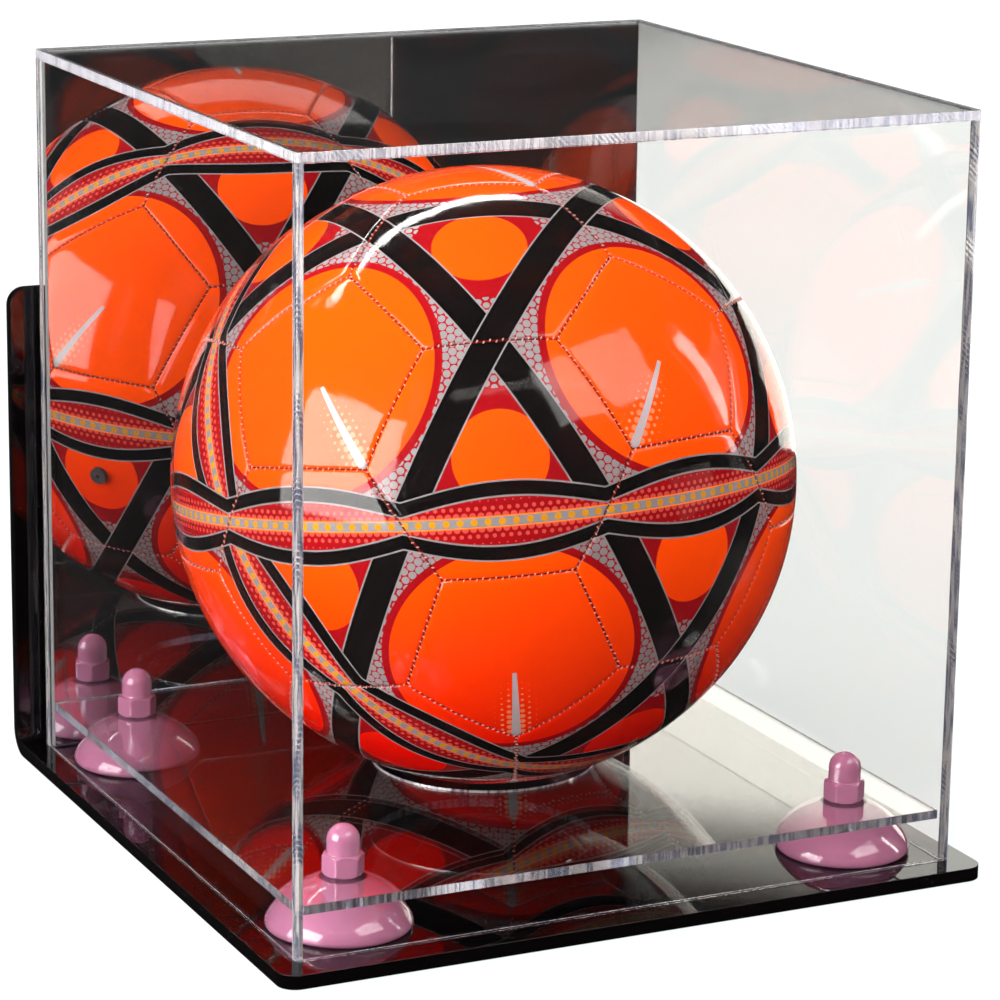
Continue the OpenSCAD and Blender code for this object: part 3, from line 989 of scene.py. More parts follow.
class Bench:
    """Modelling steps that the sub-assemblies share."""

    @staticmethod
    def take(*objects: bpy.types.Object) -> None:
        """Selects these objects alone.

        Args:
            objects: The objects; the last one becomes the active one.
        """
        if bpy.context.object is not None and bpy.context.object.mode != "OBJECT":
            bpy.ops.object.mode_set(mode="OBJECT")
        bpy.ops.object.select_all(action="DESELECT")
        for obj in objects:
            obj.select_set(True)
            bpy.context.view_layer.objects.active = obj

    @staticmethod
    def named(name: str) -> bpy.types.Object:
        """Names the object that was just added and applies its place.

        Args:
            name: The name.

        Returns:
            The object.
        """
        obj = bpy.context.object
        obj.name = obj.data.name = name
        bpy.ops.object.transform_apply(location=True, rotation=True, scale=True)
        return obj

    @staticmethod
    def linked(name: str, mesh: bpy.types.Mesh) -> bpy.types.Object:
        """Puts a mesh into the scene as a new object and takes the object.

        Args:
            name: The object's name.
            mesh: The mesh.

        Returns:
            The object.
        """
        obj = bpy.data.objects.new(name, mesh)
        bpy.context.scene.collection.objects.link(obj)
        Bench.take(obj)
        return obj

    @staticmethod
    def block(name: str, low: Vector, high: Vector) -> bpy.types.Object:
        """Adds a block.

        Args:
            name: The object's name.
            low: Its lowest corner, in metres.
            high: Its highest corner, in metres.

        Returns:
            The new object.
        """
        Bench.take()
        bpy.ops.mesh.primitive_cube_add(size=1, location=(low + high) / 2, scale=high - low)
        return Bench.named(name)

    @staticmethod
    def rod(name: str, foot: Vector, radius: float, height: float, sides: int = 64,
            top_radius: float | None = None, axis: Axis = Axis.Z) -> bpy.types.Object:
        """Adds a rod or a cone from its foot along an axis.

        Args:
            name: The object's name.
            foot: The middle of its first end, in metres.
            radius: Its radius there, in metres.
            height: Its length, in metres.
            sides: Its number of sides.
            top_radius: Its radius at the other end, where that differs.
            axis: The direction that it goes in.

        Returns:
            The new object.
        """
        Bench.take()
        along = Vector([1.0 if a is axis else 0.0 for a in Axis])
        turn = Vector((0, 0, 1)).rotation_difference(along).to_euler()
        bpy.ops.mesh.primitive_cone_add(
            vertices=sides, radius1=radius, radius2=radius if top_radius is None else top_radius,
            depth=height, location=foot + along * height / 2, rotation=turn)
        return Bench.named(name)

    @staticmethod
    def turned(name: str, outline: Sequence[tuple[float, float]], steps: int) -> bpy.types.Object:
        """Turns an outline of radii and heights, in millimetres, about the Z axis.

        Args:
            name: The object's name.
            outline: The points of the outline, from its inner end to its outer end.
            steps: How many steps the turn has.

        Returns:
            The new object, with its seam closed.
        """
        mesh = bpy.data.meshes.new(name)
        mesh.from_pydata([(r * MM, 0.0, z * MM) for r, z in outline],
                         [(i, i + 1) for i in range(len(outline) - 1)], [])
        obj = Bench.linked(name, mesh)
        bpy.ops.object.mode_set(mode="EDIT")
        bpy.ops.mesh.select_all(action="SELECT")
        bpy.ops.mesh.spin(steps=steps, angle=2 * math.pi, center=(0, 0, 0), axis=(0, 0, 1))
        bpy.ops.mesh.select_all(action="SELECT")
        bpy.ops.mesh.remove_doubles(threshold=SAME / 10)
        bpy.ops.mesh.normals_make_consistent(inside=False)
        bpy.ops.object.mode_set(mode="OBJECT")
        return obj

    @staticmethod
    def select(obj: bpy.types.Object, element: Element, test: Callable[
            [bmesh.types.BMEdge | bmesh.types.BMFace], bool]) -> None:
        """Goes to edit mode and selects the edges or faces that pass a test.

        Args:
            obj: The object.
            element: Edges or faces.
            test: The test.
        """
        Bench.take(obj)
        bpy.ops.object.mode_set(mode="EDIT")
        bpy.ops.mesh.select_mode(type=element.value)
        bpy.ops.mesh.select_all(action="DESELECT")
        work = bmesh.from_edit_mesh(obj.data)
        for part in work.faces if element is Element.FACE else work.edges:
            part.select_set(test(part))
        bmesh.update_edit_mesh(obj.data)

    @staticmethod
    def round_edges(obj: bpy.types.Object, radius: float, segments: int,
                    test: Callable[[bmesh.types.BMEdge], bool]) -> None:
        """Rounds the edges that pass a test.

        Args:
            obj: The object.
            radius: The radius, in metres.
            segments: How many faces go round each edge.
            test: The test.
        """
        Bench.select(obj, Element.EDGE, test)
        bpy.ops.mesh.bevel(offset=radius, segments=segments, profile=0.5)
        bpy.ops.object.mode_set(mode="OBJECT")

    @staticmethod
    def apply(obj: bpy.types.Object, kind: str, **settings: object) -> None:
        """Adds a modifier and applies it.

        Args:
            obj: The object.
            kind: The modifier's type.
            settings: Its properties.
        """
        Bench.take(obj)
        modifier = obj.modifiers.new(kind.title(), kind)
        for name, value in settings.items():
            setattr(modifier, name, value)
        bpy.ops.object.modifier_apply(modifier=modifier.name)

    @staticmethod
    def cut(obj: bpy.types.Object, cutters: Iterable[bpy.types.Object]) -> None:
        """Cuts tools out of an object, one by one, and removes the tools.

        Args:
            obj: The object.
            cutters: The tools.
        """
        for cutter in cutters:
            Bench.apply(obj, "BOOLEAN", operation="DIFFERENCE", solver="EXACT", object=cutter)
            bpy.data.objects.remove(cutter)

    @staticmethod
    def soften(obj: bpy.types.Object, width: float, segments: int = 2,
               angle: float = 35.0) -> None:
        """Takes the sharpness off all corners.

        Args:
            obj: The object.
            width: The width that is taken off, in metres.
            segments: How many faces go round each edge.
            angle: The least angle of a corner, in degrees.
        """
        Bench.apply(obj, "BEVEL", width=width, segments=segments, limit_method="ANGLE",
                    angle_limit=math.radians(angle), use_clamp_overlap=True)

    @staticmethod
    def smooth(obj: bpy.types.Object, angle: float = 30.0, flat_faces: bool = False) -> None:
        """Shades smooth, apart from corners sharper than an angle in degrees.

        Args:
            obj: The object.
            angle: The angle.
            flat_faces: True where large faces stay flat, up to their rounded rims.
        """
        Bench.take(obj)
        bpy.ops.object.shade_smooth_by_angle(angle=math.radians(angle))
        if flat_faces:
            Bench.apply(obj, "WEIGHTED_NORMAL", weight=100, keep_sharp=True)

    @staticmethod
    def dress(obj: bpy.types.Object, finishes: Sequence[Finish],
              choose: Callable[[bpy.types.MeshPolygon], int] | None = None) -> None:
        """Gives an object its finishes.

        Args:
            obj: The object.
            finishes: The finishes, in order.
            choose: Gives the index of a face's finish, where there are several.
        """
        obj.data.materials.clear()
        for finish in finishes:
            obj.data.materials.append(material(finish))
        for face in obj.data.polygons if choose else ():
            face.material_index = choose(face)

    @staticmethod
    def fit(obj: bpy.types.Object, body: Body, slot: str, *nodes: str) -> bpy.types.Object:
        """Makes a piece move with its body and stand for its nodes.

        Args:
            obj: The piece.
            body: The body.
            slot: The record's material slot; not used.
            nodes: The frame's nodes that it replaces.

        Returns:
            The same piece.
        """
        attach(obj, body.value)
        if nodes:
            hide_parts(*nodes)
        obj.data.calc_loop_triangles()
        LOG.info("%s: %d triangles on %s", obj.name, len(obj.data.loop_triangles), body.value)
        return obj


def screw_axis(corner: Corner, height: float) -> Vector:
    """The point of a corner's screw axis at a height in metres."""
    low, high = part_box("riser_" + corner.value)
    return Vector(((low.x + high.x) / 2, (low.y + high.y) / 2, height))


def place_at_corners(first: bpy.types.Object, prefix: str, slot: str,
                     turns: dict[Corner, float] | None = None) -> list[bpy.types.Object]:
    """Copies a piece that stands on the origin to the four corners.

    Args:
        first: The piece; it is used up.
        prefix: The start of the nodes' names.
        slot: The record's material slot.
        turns: Turn of each copy, in degrees.

    Returns:
        The four pieces.
    """
    pieces = []
    for corner in Corner:
        node = prefix + corner.value
        low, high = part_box(node)
        Bench.take(first)
        bpy.ops.object.duplicate(linked=False)
        copy = bpy.context.object
        copy.location = ((low.x + high.x) / 2, (low.y + high.y) / 2, low.z)
        copy.rotation_euler = (0, 0, math.radians(turns[corner]) if turns else 0.0)
        copy = Bench.named(node + "_piece")
        pieces.append(Bench.fit(copy, Body.BASE, slot, node))
    bpy.data.objects.remove(first)
    return pieces


# --------------------------------------------------------------- the cover


@dataclass
class Sheet:
    """One flat sheet of the case, with polished faces and sawn edges.

    Attributes:
        node: The frame's node that it stands for.
        name: The piece's name.
        thin: The direction of its thickness.
        body: The body that it moves with.
        joints: How far each side is drawn in for its glue line: axis, side and millimetres.
        corner_radius: Rounding of its outer upright corners.
        corner_sides: The sides along Y where those corners are.
        chamfer: Width of the fine chamfer round it.
        edge: The finish of its edges.
    """

    node: str
    name: str
    thin: Axis
    body: Body = Body.COVER
    joints: tuple[tuple[Axis, int, float], ...] = ()
    corner_radius: float = 0.0
    corner_sides: tuple[int, ...] = ()
    chamfer: float = 0.22
    edge: Finish = FINISHES.clear_edge

    def is_corner(self, edge: bmesh.types.BMEdge, middle: Vector) -> bool:
        """Finds the upright edges on a side that is rounded.

        Args:
            edge: An edge of the sheet.
            middle: The sheet's middle, in metres.

        Returns:
            True for such an edge.
        """
        a, b = (v.co for v in edge.verts)
        upright = abs((a - b).normalized().z) > ALONG
        return upright and any((a.y - middle.y) * side > 0 for side in self.corner_sides)

    def blank(self) -> bpy.types.Object:
        """Cuts the sheet to size, with its rounded corners.

        Returns:
            Its object, with no finish yet.
        """
        low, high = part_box(self.node)
        for axis, side, gap in self.joints:
            (high if side > 0 else low)[axis.value] -= side * gap * MM
        obj = Bench.block(self.name, low, high)
        if self.corner_radius:
            middle = (low + high) / 2
            Bench.round_edges(obj, self.corner_radius * MM, 5,
                              lambda edge: self.is_corner(edge, middle))
        return obj

    def finish(self, obj: bpy.types.Object) -> bpy.types.Object:
        """Chamfers and dresses the sheet and puts it in place.

        Args:
            obj: The sheet as it was cut.

        Returns:
            The finished piece.
        """
        Bench.soften(obj, self.chamfer * MM)
        Bench.smooth(obj, 40.0, flat_faces=True)
        thin = self.thin.value
        Bench.dress(obj, (FINISHES.clear, self.edge),
                    lambda face: 0 if abs(face.normal[thin]) > ACROSS else 1)
        return Bench.fit(obj, self.body, "clear_acrylic", self.node)

    def build(self) -> bpy.types.Object:
        """Makes the sheet and returns its object."""
        return self.finish(self.blank())


@dataclass
class Cover:
    """The five-sided clear cover with the mirror at its back.

    Attributes:
        glue: Thickness of a glue line.
        corner_radius: Rounding of the upright corners.
        mirror_chamfer: Width of the fine chamfer round the mirror.
    """

    glue: float = 0.03
    corner_radius: float = 1.45
    mirror_chamfer: float = 0.3

    def panels(self) -> list[Sheet]:
        """Sets out the cover's sheets.

        Returns:
            The five sheets, not yet made.
        """
        round_r, under = self.corner_radius, (Axis.Z, 1, self.glue)
        ends = ((Axis.Y, -1, self.glue), (Axis.Y, 1, self.glue), under)
        return [
            Sheet("cover_top", "cover_top_sheet", Axis.Z, corner_radius=round_r,
                  corner_sides=(-1, 1), edge=FINISHES.top_edge),
            Sheet("cover_front", "cover_front_sheet", Axis.Y, joints=(under,),
                  corner_radius=round_r, corner_sides=(-1,)),
            Sheet("cover_back", "cover_back_sheet", Axis.Y, joints=(under,),
                  corner_radius=round_r, corner_sides=(1,)),
            Sheet("cover_left", "cover_left_sheet", Axis.X, joints=ends),
            Sheet("cover_right", "cover_right_sheet", Axis.X, joints=ends),
        ]

    def mirror(self) -> bpy.types.Object:
        """Makes the mirror sheet, silvered in front and painted behind.

        Returns:
            The finished piece.
        """
        obj = Bench.block("mirror_sheet", *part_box("mirror"))
        Bench.soften(obj, self.mirror_chamfer * MM)
        Bench.dress(obj, (FINISHES.silvering, FINISHES.backing),
                    lambda face: 0 if face.normal.y < -ACROSS else 1)
        return Bench.fit(obj, Body.COVER, "mirror", "mirror")

    def build(self) -> None:
        """Makes all sheets of the cover and dresses the tape."""
        for panel in self.panels():
            panel.build()
        self.mirror()
        Bench.dress(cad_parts["mirror_tape"], (FINISHES.tape,))


# ------------------------------------------------- base, platform and fixings


@dataclass
class Base:
    """The black sheet that is bent up behind the cover.

    Attributes:
        bend_radius: Inside radius of the bend.
        bend_steps: How many faces go round the bend.
        corner_radius: Rounding of its free corners.
        edge: Rounding of its polished edges.
        screw_r: Radius of a screw hole.
        head_r: Radius of a screw's countersink at the underside.
        sink: Straight part of the countersink.
        wall_hole_r: Radius of a wall screw hole.
        wall_pitch: Distance between the two wall screw holes.
        wall_drop: Their depth below the upright's top.
        past: How far the tools reach past the sheet that they cut.
        low: The base's lowest corner, in metres, as the frame has it.
        high: Its highest corner, in metres.
        thick: The sheet's thickness, in metres.
        bend_y: Where its bend starts along Y, in metres.
    """

    bend_radius: float = 5.0
    bend_steps: int = 12
    corner_radius: float = 6.5
    edge: float = 0.35
    screw_r: float = SCREW_HOLE_R
    head_r: float = 5.95
    sink: float = 0.3
    wall_hole_r: float = 2.75
    wall_pitch: float = 160.0
    wall_drop: float = 20.0
    past: float = 1.0
    low: Vector = field(init=False)
    high: Vector = field(init=False)
    thick: float = field(init=False)
    bend_y: float = field(init=False)

    def __post_init__(self) -> None:
        """Reads the base's place from the frame."""
        self.low, self.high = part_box("base_mount")
        self.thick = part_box("riser_front_left")[0].z
        self.bend_y = self.high.y - self.thick - self.bend_radius * MM

    def cutters(self) -> Iterable[bpy.types.Object]:
        """Makes the tools that cut the screw holes.

        Returns:
            The tools, one after the other.
        """
        reach = self.thick + 2 * self.past * MM
        head_h, cone_h = (self.past + self.sink) * MM, (self.head_r - self.screw_r) * MM
        for corner in Corner:
            foot = screw_axis(corner, -self.past * MM)
            yield Bench.rod("drill", foot, self.screw_r * MM, reach)
            yield Bench.rod("counterbore", foot, self.head_r * MM, head_h)
            yield Bench.rod("countersink", foot + Vector((0, 0, head_h)), self.head_r * MM,
                            cone_h, top_radius=self.screw_r * MM)
        for side in (-1, 1):
            foot = Vector((side * self.wall_pitch / 2 * MM,
                           self.high.y - self.thick - self.past * MM,
                           self.high.z - self.wall_drop * MM))
            yield Bench.rod("wall_drill", foot, self.wall_hole_r * MM, reach, axis=Axis.Y)

    def bent_strip(self) -> bpy.types.Object:
        """Bends a strip up at its back and draws the upright out of it.

        Returns:
            The strip, with square corners.
        """
        centre_z = self.thick + self.bend_radius * MM
        obj = Bench.block("base_and_upright", self.low,
                          Vector((self.high.x, self.bend_y, self.thick)))
        Bench.select(obj, Element.FACE, lambda face: face.normal.y > ALONG)
        bpy.ops.mesh.spin(steps=self.bend_steps, angle=-math.pi / 2,
                          center=(0, self.bend_y, centre_z), axis=(1, 0, 0))
        bpy.ops.object.mode_set(mode="OBJECT")
        if max(v.co.y for v in obj.data.vertices) < self.high.y - SAME:
            raise RuntimeError("the base was bent the wrong way")
        Bench.select(obj, Element.FACE,
                     lambda face: face.calc_center_median().z > centre_z - SAME)
        rise = self.high.z - centre_z
        bpy.ops.mesh.extrude_region_move(TRANSFORM_OT_translate={"value": (0, 0, rise)})
        bpy.ops.mesh.select_all(action="SELECT")
        bpy.ops.mesh.normals_make_consistent(inside=False)
        bpy.ops.object.mode_set(mode="OBJECT")
        return obj

    def is_free_corner(self, edge: bmesh.types.BMEdge) -> bool:
        """Finds the corners at the front and at the upright's top.

        Args:
            edge: An edge of the strip.

        Returns:
            True for an edge that runs through the sheet's thickness there.
        """
        a, b = (v.co for v in edge.verts)
        along = (a - b).normalized()
        at_side = all(abs(abs(end.x) - self.high.x) < SAME for end in (a, b))
        front = abs(along.z) > ALONG and a.y < self.low.y + SAME
        top = abs(along.y) > ALONG and a.z > self.high.z - SAME
        return at_side and (front or top)

    def build(self) -> bpy.types.Object:
        """Bends, rounds, drills and dresses the base.

        Returns:
            The finished piece.
        """
        obj = self.bent_strip()
        Bench.round_edges(obj, self.corner_radius * MM, 10, self.is_free_corner)
        Bench.cut(obj, self.cutters())
        Bench.soften(obj, self.edge * MM, 3)
        Bench.smooth(obj, 32.0, flat_faces=True)
        # The upward bevels along the top edges get the painted highlight.
        rim_z = self.thick + MM
        Bench.dress(obj, (FINISHES.black, FINISHES.painted_edge_highlight), lambda face: int(
            0.5 < face.normal.z < ACROSS and face.center.z < rim_z
            and face.center.y < self.bend_y))
        return Bench.fit(obj, Body.BASE, "black_acrylic", "base_mount")


@dataclass
class Platform:
    """The clear sheet that carries the ball.

    Attributes:
        seat_r: Radius of the hole that the ball sits in.
        screw_r: Radius of a screw hole.
        chamfer: Width of the fine chamfer round it.
        past: How far the tools reach past it.
    """

    seat_r: float = 40.0
    screw_r: float = SCREW_HOLE_R
    chamfer: float = 0.25
    past: float = 1.0

    def build(self) -> bpy.types.Object:
        """Makes the platform, cuts its holes and dresses it.

        Returns:
            The finished piece.
        """
        sheet = Sheet("platform", "platform_sheet", Axis.Z, body=Body.BASE,
                      chamfer=self.chamfer, edge=FINISHES.sawn_edge)
        obj = sheet.blank()
        low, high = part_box("platform")
        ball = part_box("ball_hexagons")
        under, reach = low.z - self.past * MM, high.z - low.z + 2 * self.past * MM
        seat = Vector(((ball[0].x + ball[1].x) / 2, (ball[0].y + ball[1].y) / 2, under))
        Bench.cut(obj, (Bench.rod("seat_cutter", seat, self.seat_r * MM, reach, 160),))
        for corner in Corner:
            foot = screw_axis(corner, under)
            Bench.cut(obj, (Bench.rod("drill", foot, self.screw_r * MM, reach, 48),))
        obj = sheet.finish(obj)
        obj.data.materials.append(material(FINISHES.seat_edge))
        for face in obj.data.polygons:
            off = math.hypot(face.center.x - seat.x, face.center.y - seat.y)
            if face.material_index == 1 and off < (self.seat_r + self.past) * MM:
                face.material_index = 2
        return obj


@dataclass
class Riser:
    """A domed riser under the platform.

    Attributes:
        radius: Radius of its foot.
        height: Its height.
        rim: Height of its upright rim.
        top_r: Radius of its flat top.
        bore_r: Radius of its screw hole.
        bore_chamfer: Chamfer of that hole, at the top.
        foot_round: Rounding under the rim.
        foot_steps: How many faces go round that.
        shoulder: Rounding over the rim.
        shoulder_drop: How far below the rim's edge it starts, as a share of that rounding.
        shoulder_steps: How many faces go round that.
        cap_steps: How many faces go up the dome.
    """

    radius: float = 23.4
    height: float = 14.8
    rim: float = 3.0
    top_r: float = 8.0
    bore_r: float = SCREW_HOLE_R
    bore_chamfer: float = 0.3
    foot_round: float = 1.4
    foot_steps: int = 6
    shoulder: float = 2.2
    shoulder_drop: float = 0.6
    shoulder_steps: int = 6
    cap_steps: int = 28

    def cap(self) -> list[tuple[float, float]]:
        """Works out the arc of the dome.

        Returns:
            Its points, from the rim to the flat top.
        """
        rise = self.height - self.rim
        drop = (self.radius ** 2 - self.top_r ** 2 - rise ** 2) / (2 * rise)
        cap_r = math.hypot(self.radius, drop)
        start, end = math.asin(self.radius / cap_r), math.asin(self.top_r / cap_r)
        angles = [start + (end - start) * i / self.cap_steps for i in range(self.cap_steps + 1)]
        return [(cap_r * math.sin(a), self.rim - drop + cap_r * math.cos(a)) for a in angles]

    def outline(self) -> list[tuple[float, float]]:
        """Sets out the riser's half section.

        Returns:
            Radii and heights, from its bore round the outside and back.
        """
        points = [(self.bore_r, 0.0)]
        for step in range(self.foot_steps + 1):
            angle = math.radians(90 * step / self.foot_steps - 90)
            points.append((self.radius - self.foot_round * (1 - math.cos(angle)),
                           self.foot_round * (1 + math.sin(angle))))
        cap = self.cap()
        # The shoulder between rim and cap is a curve from the rim through their meeting point
        low, corner = (self.radius, self.rim - self.shoulder * self.shoulder_drop), cap[0]
        after = next(i for i, p in enumerate(cap) if math.dist(p, corner) > self.shoulder)
        for i in range(self.shoulder_steps + 1):
            t = i / self.shoulder_steps
            points.append(tuple((1 - t) ** 2 * a + 2 * t * (1 - t) * b + t * t * c
                                for a, b, c in zip(low, corner, cap[after])))
        points += cap[after + 1:]
        points.append((self.bore_r + self.bore_chamfer, self.height))
        points.append((self.bore_r, self.height - self.bore_chamfer))
        points.append((self.bore_r, 0.0))
        return points

    def build(self) -> list[bpy.types.Object]:
        """Makes one riser and copies it to each corner.

        Returns:
            The four risers.
        """
        first = Bench.turned("riser", self.outline(), 96)
        Bench.smooth(first, 35.0)
        Bench.dress(first, (FINISHES.pink,))
        return place_at_corners(first, "riser_", "pink_gloss")


@dataclass
class AcornNut:
    """A cap nut: a hexagon with its corners turned off, a collar and a dome.

    Attributes:
        flats: Width across the hexagon's flats.
        hex_h: Height of the hexagon.
        chamfer: How far its corners are turned off.
        cone: Heights of the rings on the cone that turns them off.
        fillet: Rounding between hexagon and dome.
        dome_r: Radius of the dome.
        dome_step: Angle between the rings of the dome, in degrees.
        height: The nut's height.
        bore_r: Radius of its thread.
        bore_h: Depth of its thread.
        pole_r: Radius of the smallest rings, at the axis.
        corner_round: Rounding of the hexagon's upright corners.
        corner_start: Where it starts, as a share of the way from a flat's middle to a corner.
        turns: Turn of each nut, in degrees.
    """

    flats: float = 12.7
    hex_h: float = 7.1
    chamfer: float = 0.9
    cone: tuple[float, ...] = (0.0, 0.12, 0.3, 0.5, 0.7, 0.9, 1.3)
    fillet: float = 0.35
    dome_r: float = 5.6
    dome_step: int = 6
    height: float = 17.2
    bore_r: float = 3.05
    bore_h: float = 8.2
    pole_r: float = 0.01
    corner_round: float = 0.16
    corner_start: float = 0.86
    turns: dict[Corner, float] = field(default_factory=lambda: {
        Corner.FRONT_LEFT: 48.0, Corner.FRONT_RIGHT: 38.0,
        Corner.BACK_LEFT: 51.0, Corner.BACK_RIGHT: 25.0})

    def hex_radius(self, angle: float) -> float:
        """The hexagon's radius in a direction, with its corners a little round.

        Args:
            angle: The direction, in radians, with a corner at 0.

        Returns:
            The radius, in millimetres.
        """
        third = math.pi / 3
        off = (angle % third) - third / 2
        sharp = self.flats / 2 / math.cos(off)
        past_start = max(0.0, abs(off) / (third / 2) - self.corner_start)
        near_corner = past_start / (1 - self.corner_start)
        return sharp - self.corner_round * near_corner ** 2

    def outline(self) -> list[tuple[float, float, bool]]:
        """Sets out the rings that the nut is turned from.

        Returns:
            Radius and height of each ring, and whether the ring follows the hexagon.
        """
        end_r = self.flats / 2 / math.cos(math.pi / 6) - self.chamfer
        rings = [(self.pole_r, self.bore_h, False), (self.bore_r, self.bore_h, False),
                 (self.bore_r, 0.0, False)]
        rings += [(end_r + z, z, True) for z in self.cone]
        rings += [(end_r + z, self.hex_h - z, True) for z in reversed(self.cone)]
        rings += [(self.dome_r + self.fillet, self.hex_h + 0.02, False),
                  (self.dome_r + 0.08, self.hex_h + 0.12, False),
                  (self.dome_r, self.hex_h + self.fillet, False)]
        centre = self.height - self.dome_r
        angles = [math.radians(a) for a in range(0, 91, self.dome_step)]
        rings += [(max(self.pole_r, self.dome_r * math.cos(a)),
                   centre + self.dome_r * math.sin(a), False) for a in angles]
        return rings

    def build(self) -> list[bpy.types.Object]:
        """Makes one nut and copies it to each corner, turned its own way.

        Returns:
            The four nuts.
        """
        rings = self.outline()
        first = Bench.turned("acorn_nut", [(r, z) for r, z, _ in rings], 96)
        hexagonal = {round(z * MM, 7) for _, z, on in rings if on}
        outer = (self.bore_r + 0.1) * MM
        for vertex in first.data.vertices:
            radius = math.hypot(vertex.co.x, vertex.co.y)
            if round(vertex.co.z, 7) in hexagonal and radius > outer:
                limit = self.hex_radius(math.atan2(vertex.co.y, vertex.co.x)) * MM
                if radius > limit:
                    vertex.co.x *= limit / radius
                    vertex.co.y *= limit / radius
        Bench.smooth(first, 26.0)
        Bench.dress(first, (FINISHES.pink,))
        return place_at_corners(first, "acorn_nut_", "pink_gloss", self.turns)


# -------------------------------------------------------------------- the ball


@dataclass
class Ball:
    """The stitched football: 12 pentagon and 20 hexagon panels.

    Attributes:
        tilt: Tilt of the panel pattern, in degrees.
        spin: Turn of the panel pattern, in degrees.
        rings: Width of each ring of faces inside a panel's edge.
        depths: Share of the seam's depth at each ring, from the edge inwards.
        plane: Distance of a panel from the middle of the unit icosahedron, on average.
        seam_depth: Depth of a seam.
        wall: Thickness of a panel.
        cuts: How often each side of a panel is divided.
        stitches: Number of stitches along a seam.
        stitch_length: Length of a stitch.
        stitch_r: Radius of the thread.
        stitch_shift: How far stitches lie to either side of the seam, by turns.
        stitch_lean: How far stitches lean along the seam, in degrees.
        stitch_sink: How deep they lie, as a share of the seam's depth.
        ribbons: The six pentagons that the printed ribbons go round, the topmost last.
        roughness: How matt the print is.
        centre: The ball's centre, in metres, as the frame has it.
        radius: Its radius.
        corners: The directions of the pentagons' middles.
    """

    tilt: float = 24.0
    spin: float = 14.0
    rings: tuple[float, ...] = (0.22, 0.3, 0.6, 1.5)
    depths: tuple[float, ...] = (1.0, 0.58, 0.24, 0.06, 0.0)
    plane: float = 0.87
    seam_depth: float = 1.0
    wall: float = 1.7
    cuts: int = 9
    stitches: int = 21
    stitch_length: float = 1.35
    stitch_r: float = 0.27
    stitch_shift: float = 0.28
    stitch_lean: float = 28.0
    stitch_sink: float = 0.3
    ribbons: tuple[int, ...] = (1, 2, 4, 5, 3, 0)
    roughness: float = 0.07
    centre: Vector = field(init=False)
    radius: int = field(init=False)
    corners: list[Vector] = field(init=False)

    def __post_init__(self) -> None:
        """Reads the ball's place from the frame and works out its panels' directions."""
        low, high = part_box("ball_lining")
        self.centre = (low + high) / 2
        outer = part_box("ball_hexagons")
        self.radius = round((outer[1].z - outer[0].z) / 2 / MM)
        turn = (Matrix.Rotation(math.radians(self.spin), 3, "Z")
                @ Matrix.Rotation(math.radians(self.tilt), 3, "X"))
        golden = (1 + math.sqrt(5)) / 2
        plain = [Vector(p) for s in (-1, 1) for t in (-golden, golden)
                 for p in ((0, s, t), (s, t, 0), (t, 0, s))]
        self.corners = [(turn @ p).normalized() for p in plain]

    @staticmethod
    def near(a: Vector, b: Vector) -> bool:
        """True if two pentagon directions are neighbours."""
        return 0.4 < a.dot(b) < 0.5

    def neighbour(self, a: Vector) -> Vector:
        """The first pentagon direction that is next to this one."""
        return next(b for b in self.corners if self.near(a, b))

    def faces(self, kind: PanelKind) -> list[tuple[Vector, Vector]]:
        """Finds the panels of a kind.

        Args:
            kind: Pentagons or hexagons.

        Returns:
            The middle of each panel, and a direction that its pattern starts at.
        """
        if kind is PanelKind.PENTAGON:
            return [(a, self.neighbour(a)) for a in self.corners]
        return [((a + b + c).normalized(), a) for a, b, c in combinations(self.corners, 3)
                if self.near(a, b) and self.near(b, c) and self.near(a, c)]

    def seams(self) -> list[tuple[Vector, Vector]]:
        """Finds the seams between the panels.

        Returns:
            The two ends of each seam, as directions.
        """
        ends = [(2 * a + b, 2 * b + a) for a, b in combinations(self.corners, 2)
                if self.near(a, b)]
        for a in self.corners:
            around = [b for b in self.corners if self.near(a, b)]
            ends += [(2 * a + b, 2 * a + c) for b, c in combinations(around, 2)
                     if self.near(b, c)]
        return [(p.normalized(), q.normalized()) for p, q in ends]

    @staticmethod
    def axes(first: Vector, second: Vector) -> Matrix:
        """Makes axes that start along a direction.

        Args:
            first: The direction.
            second: A direction in the plane of the first two axes.

        Returns:
            A matrix whose columns are the axes.
        """
        third = first.cross(second).normalized()
        return Matrix((first, third.cross(first), third)).transposed()

    def turn_to_corners(self, obj: bpy.types.Object) -> None:
        """Turns a new icosahedron so that its corners are the pentagons' middles.

        Args:
            obj: The icosahedron.
        """
        points = [v.co.normalized() for v in obj.data.vertices]
        mine = self.axes(points[0], next(p for p in points if self.near(points[0], p)))
        goal = self.axes(self.corners[0], self.neighbour(self.corners[0]))
        obj.rotation_euler = (goal @ mine.transposed()).to_euler()
        Bench.take(obj)
        bpy.ops.object.transform_apply(rotation=True)

    def flat_panels(self, kind: PanelKind) -> bpy.types.Object:
        """Cuts the corners off an icosahedron and keeps the faces of a kind, split apart.

        Args:
            kind: Pentagons or hexagons.

        Returns:
            Its object, in edit mode.
        """
        Bench.take()
        bpy.ops.mesh.primitive_ico_sphere_add(subdivisions=1, radius=1.0)
        obj = Bench.named(f"ball_{kind.name.lower()}_panels")
        self.turn_to_corners(obj)
        bpy.ops.object.mode_set(mode="EDIT")
        bpy.ops.mesh.select_all(action="SELECT")
        bpy.ops.mesh.bevel(offset_type="PERCENT", offset_pct=100 / 3, affect="VERTICES")
        Bench.select(obj, Element.FACE, lambda face: len(face.verts) != kind.value)
        bpy.ops.mesh.delete(type="FACE")
        bpy.ops.mesh.select_mode(type="EDGE")
        bpy.ops.mesh.select_all(action="SELECT")
        bpy.ops.mesh.edge_split(type="EDGE")
        return obj

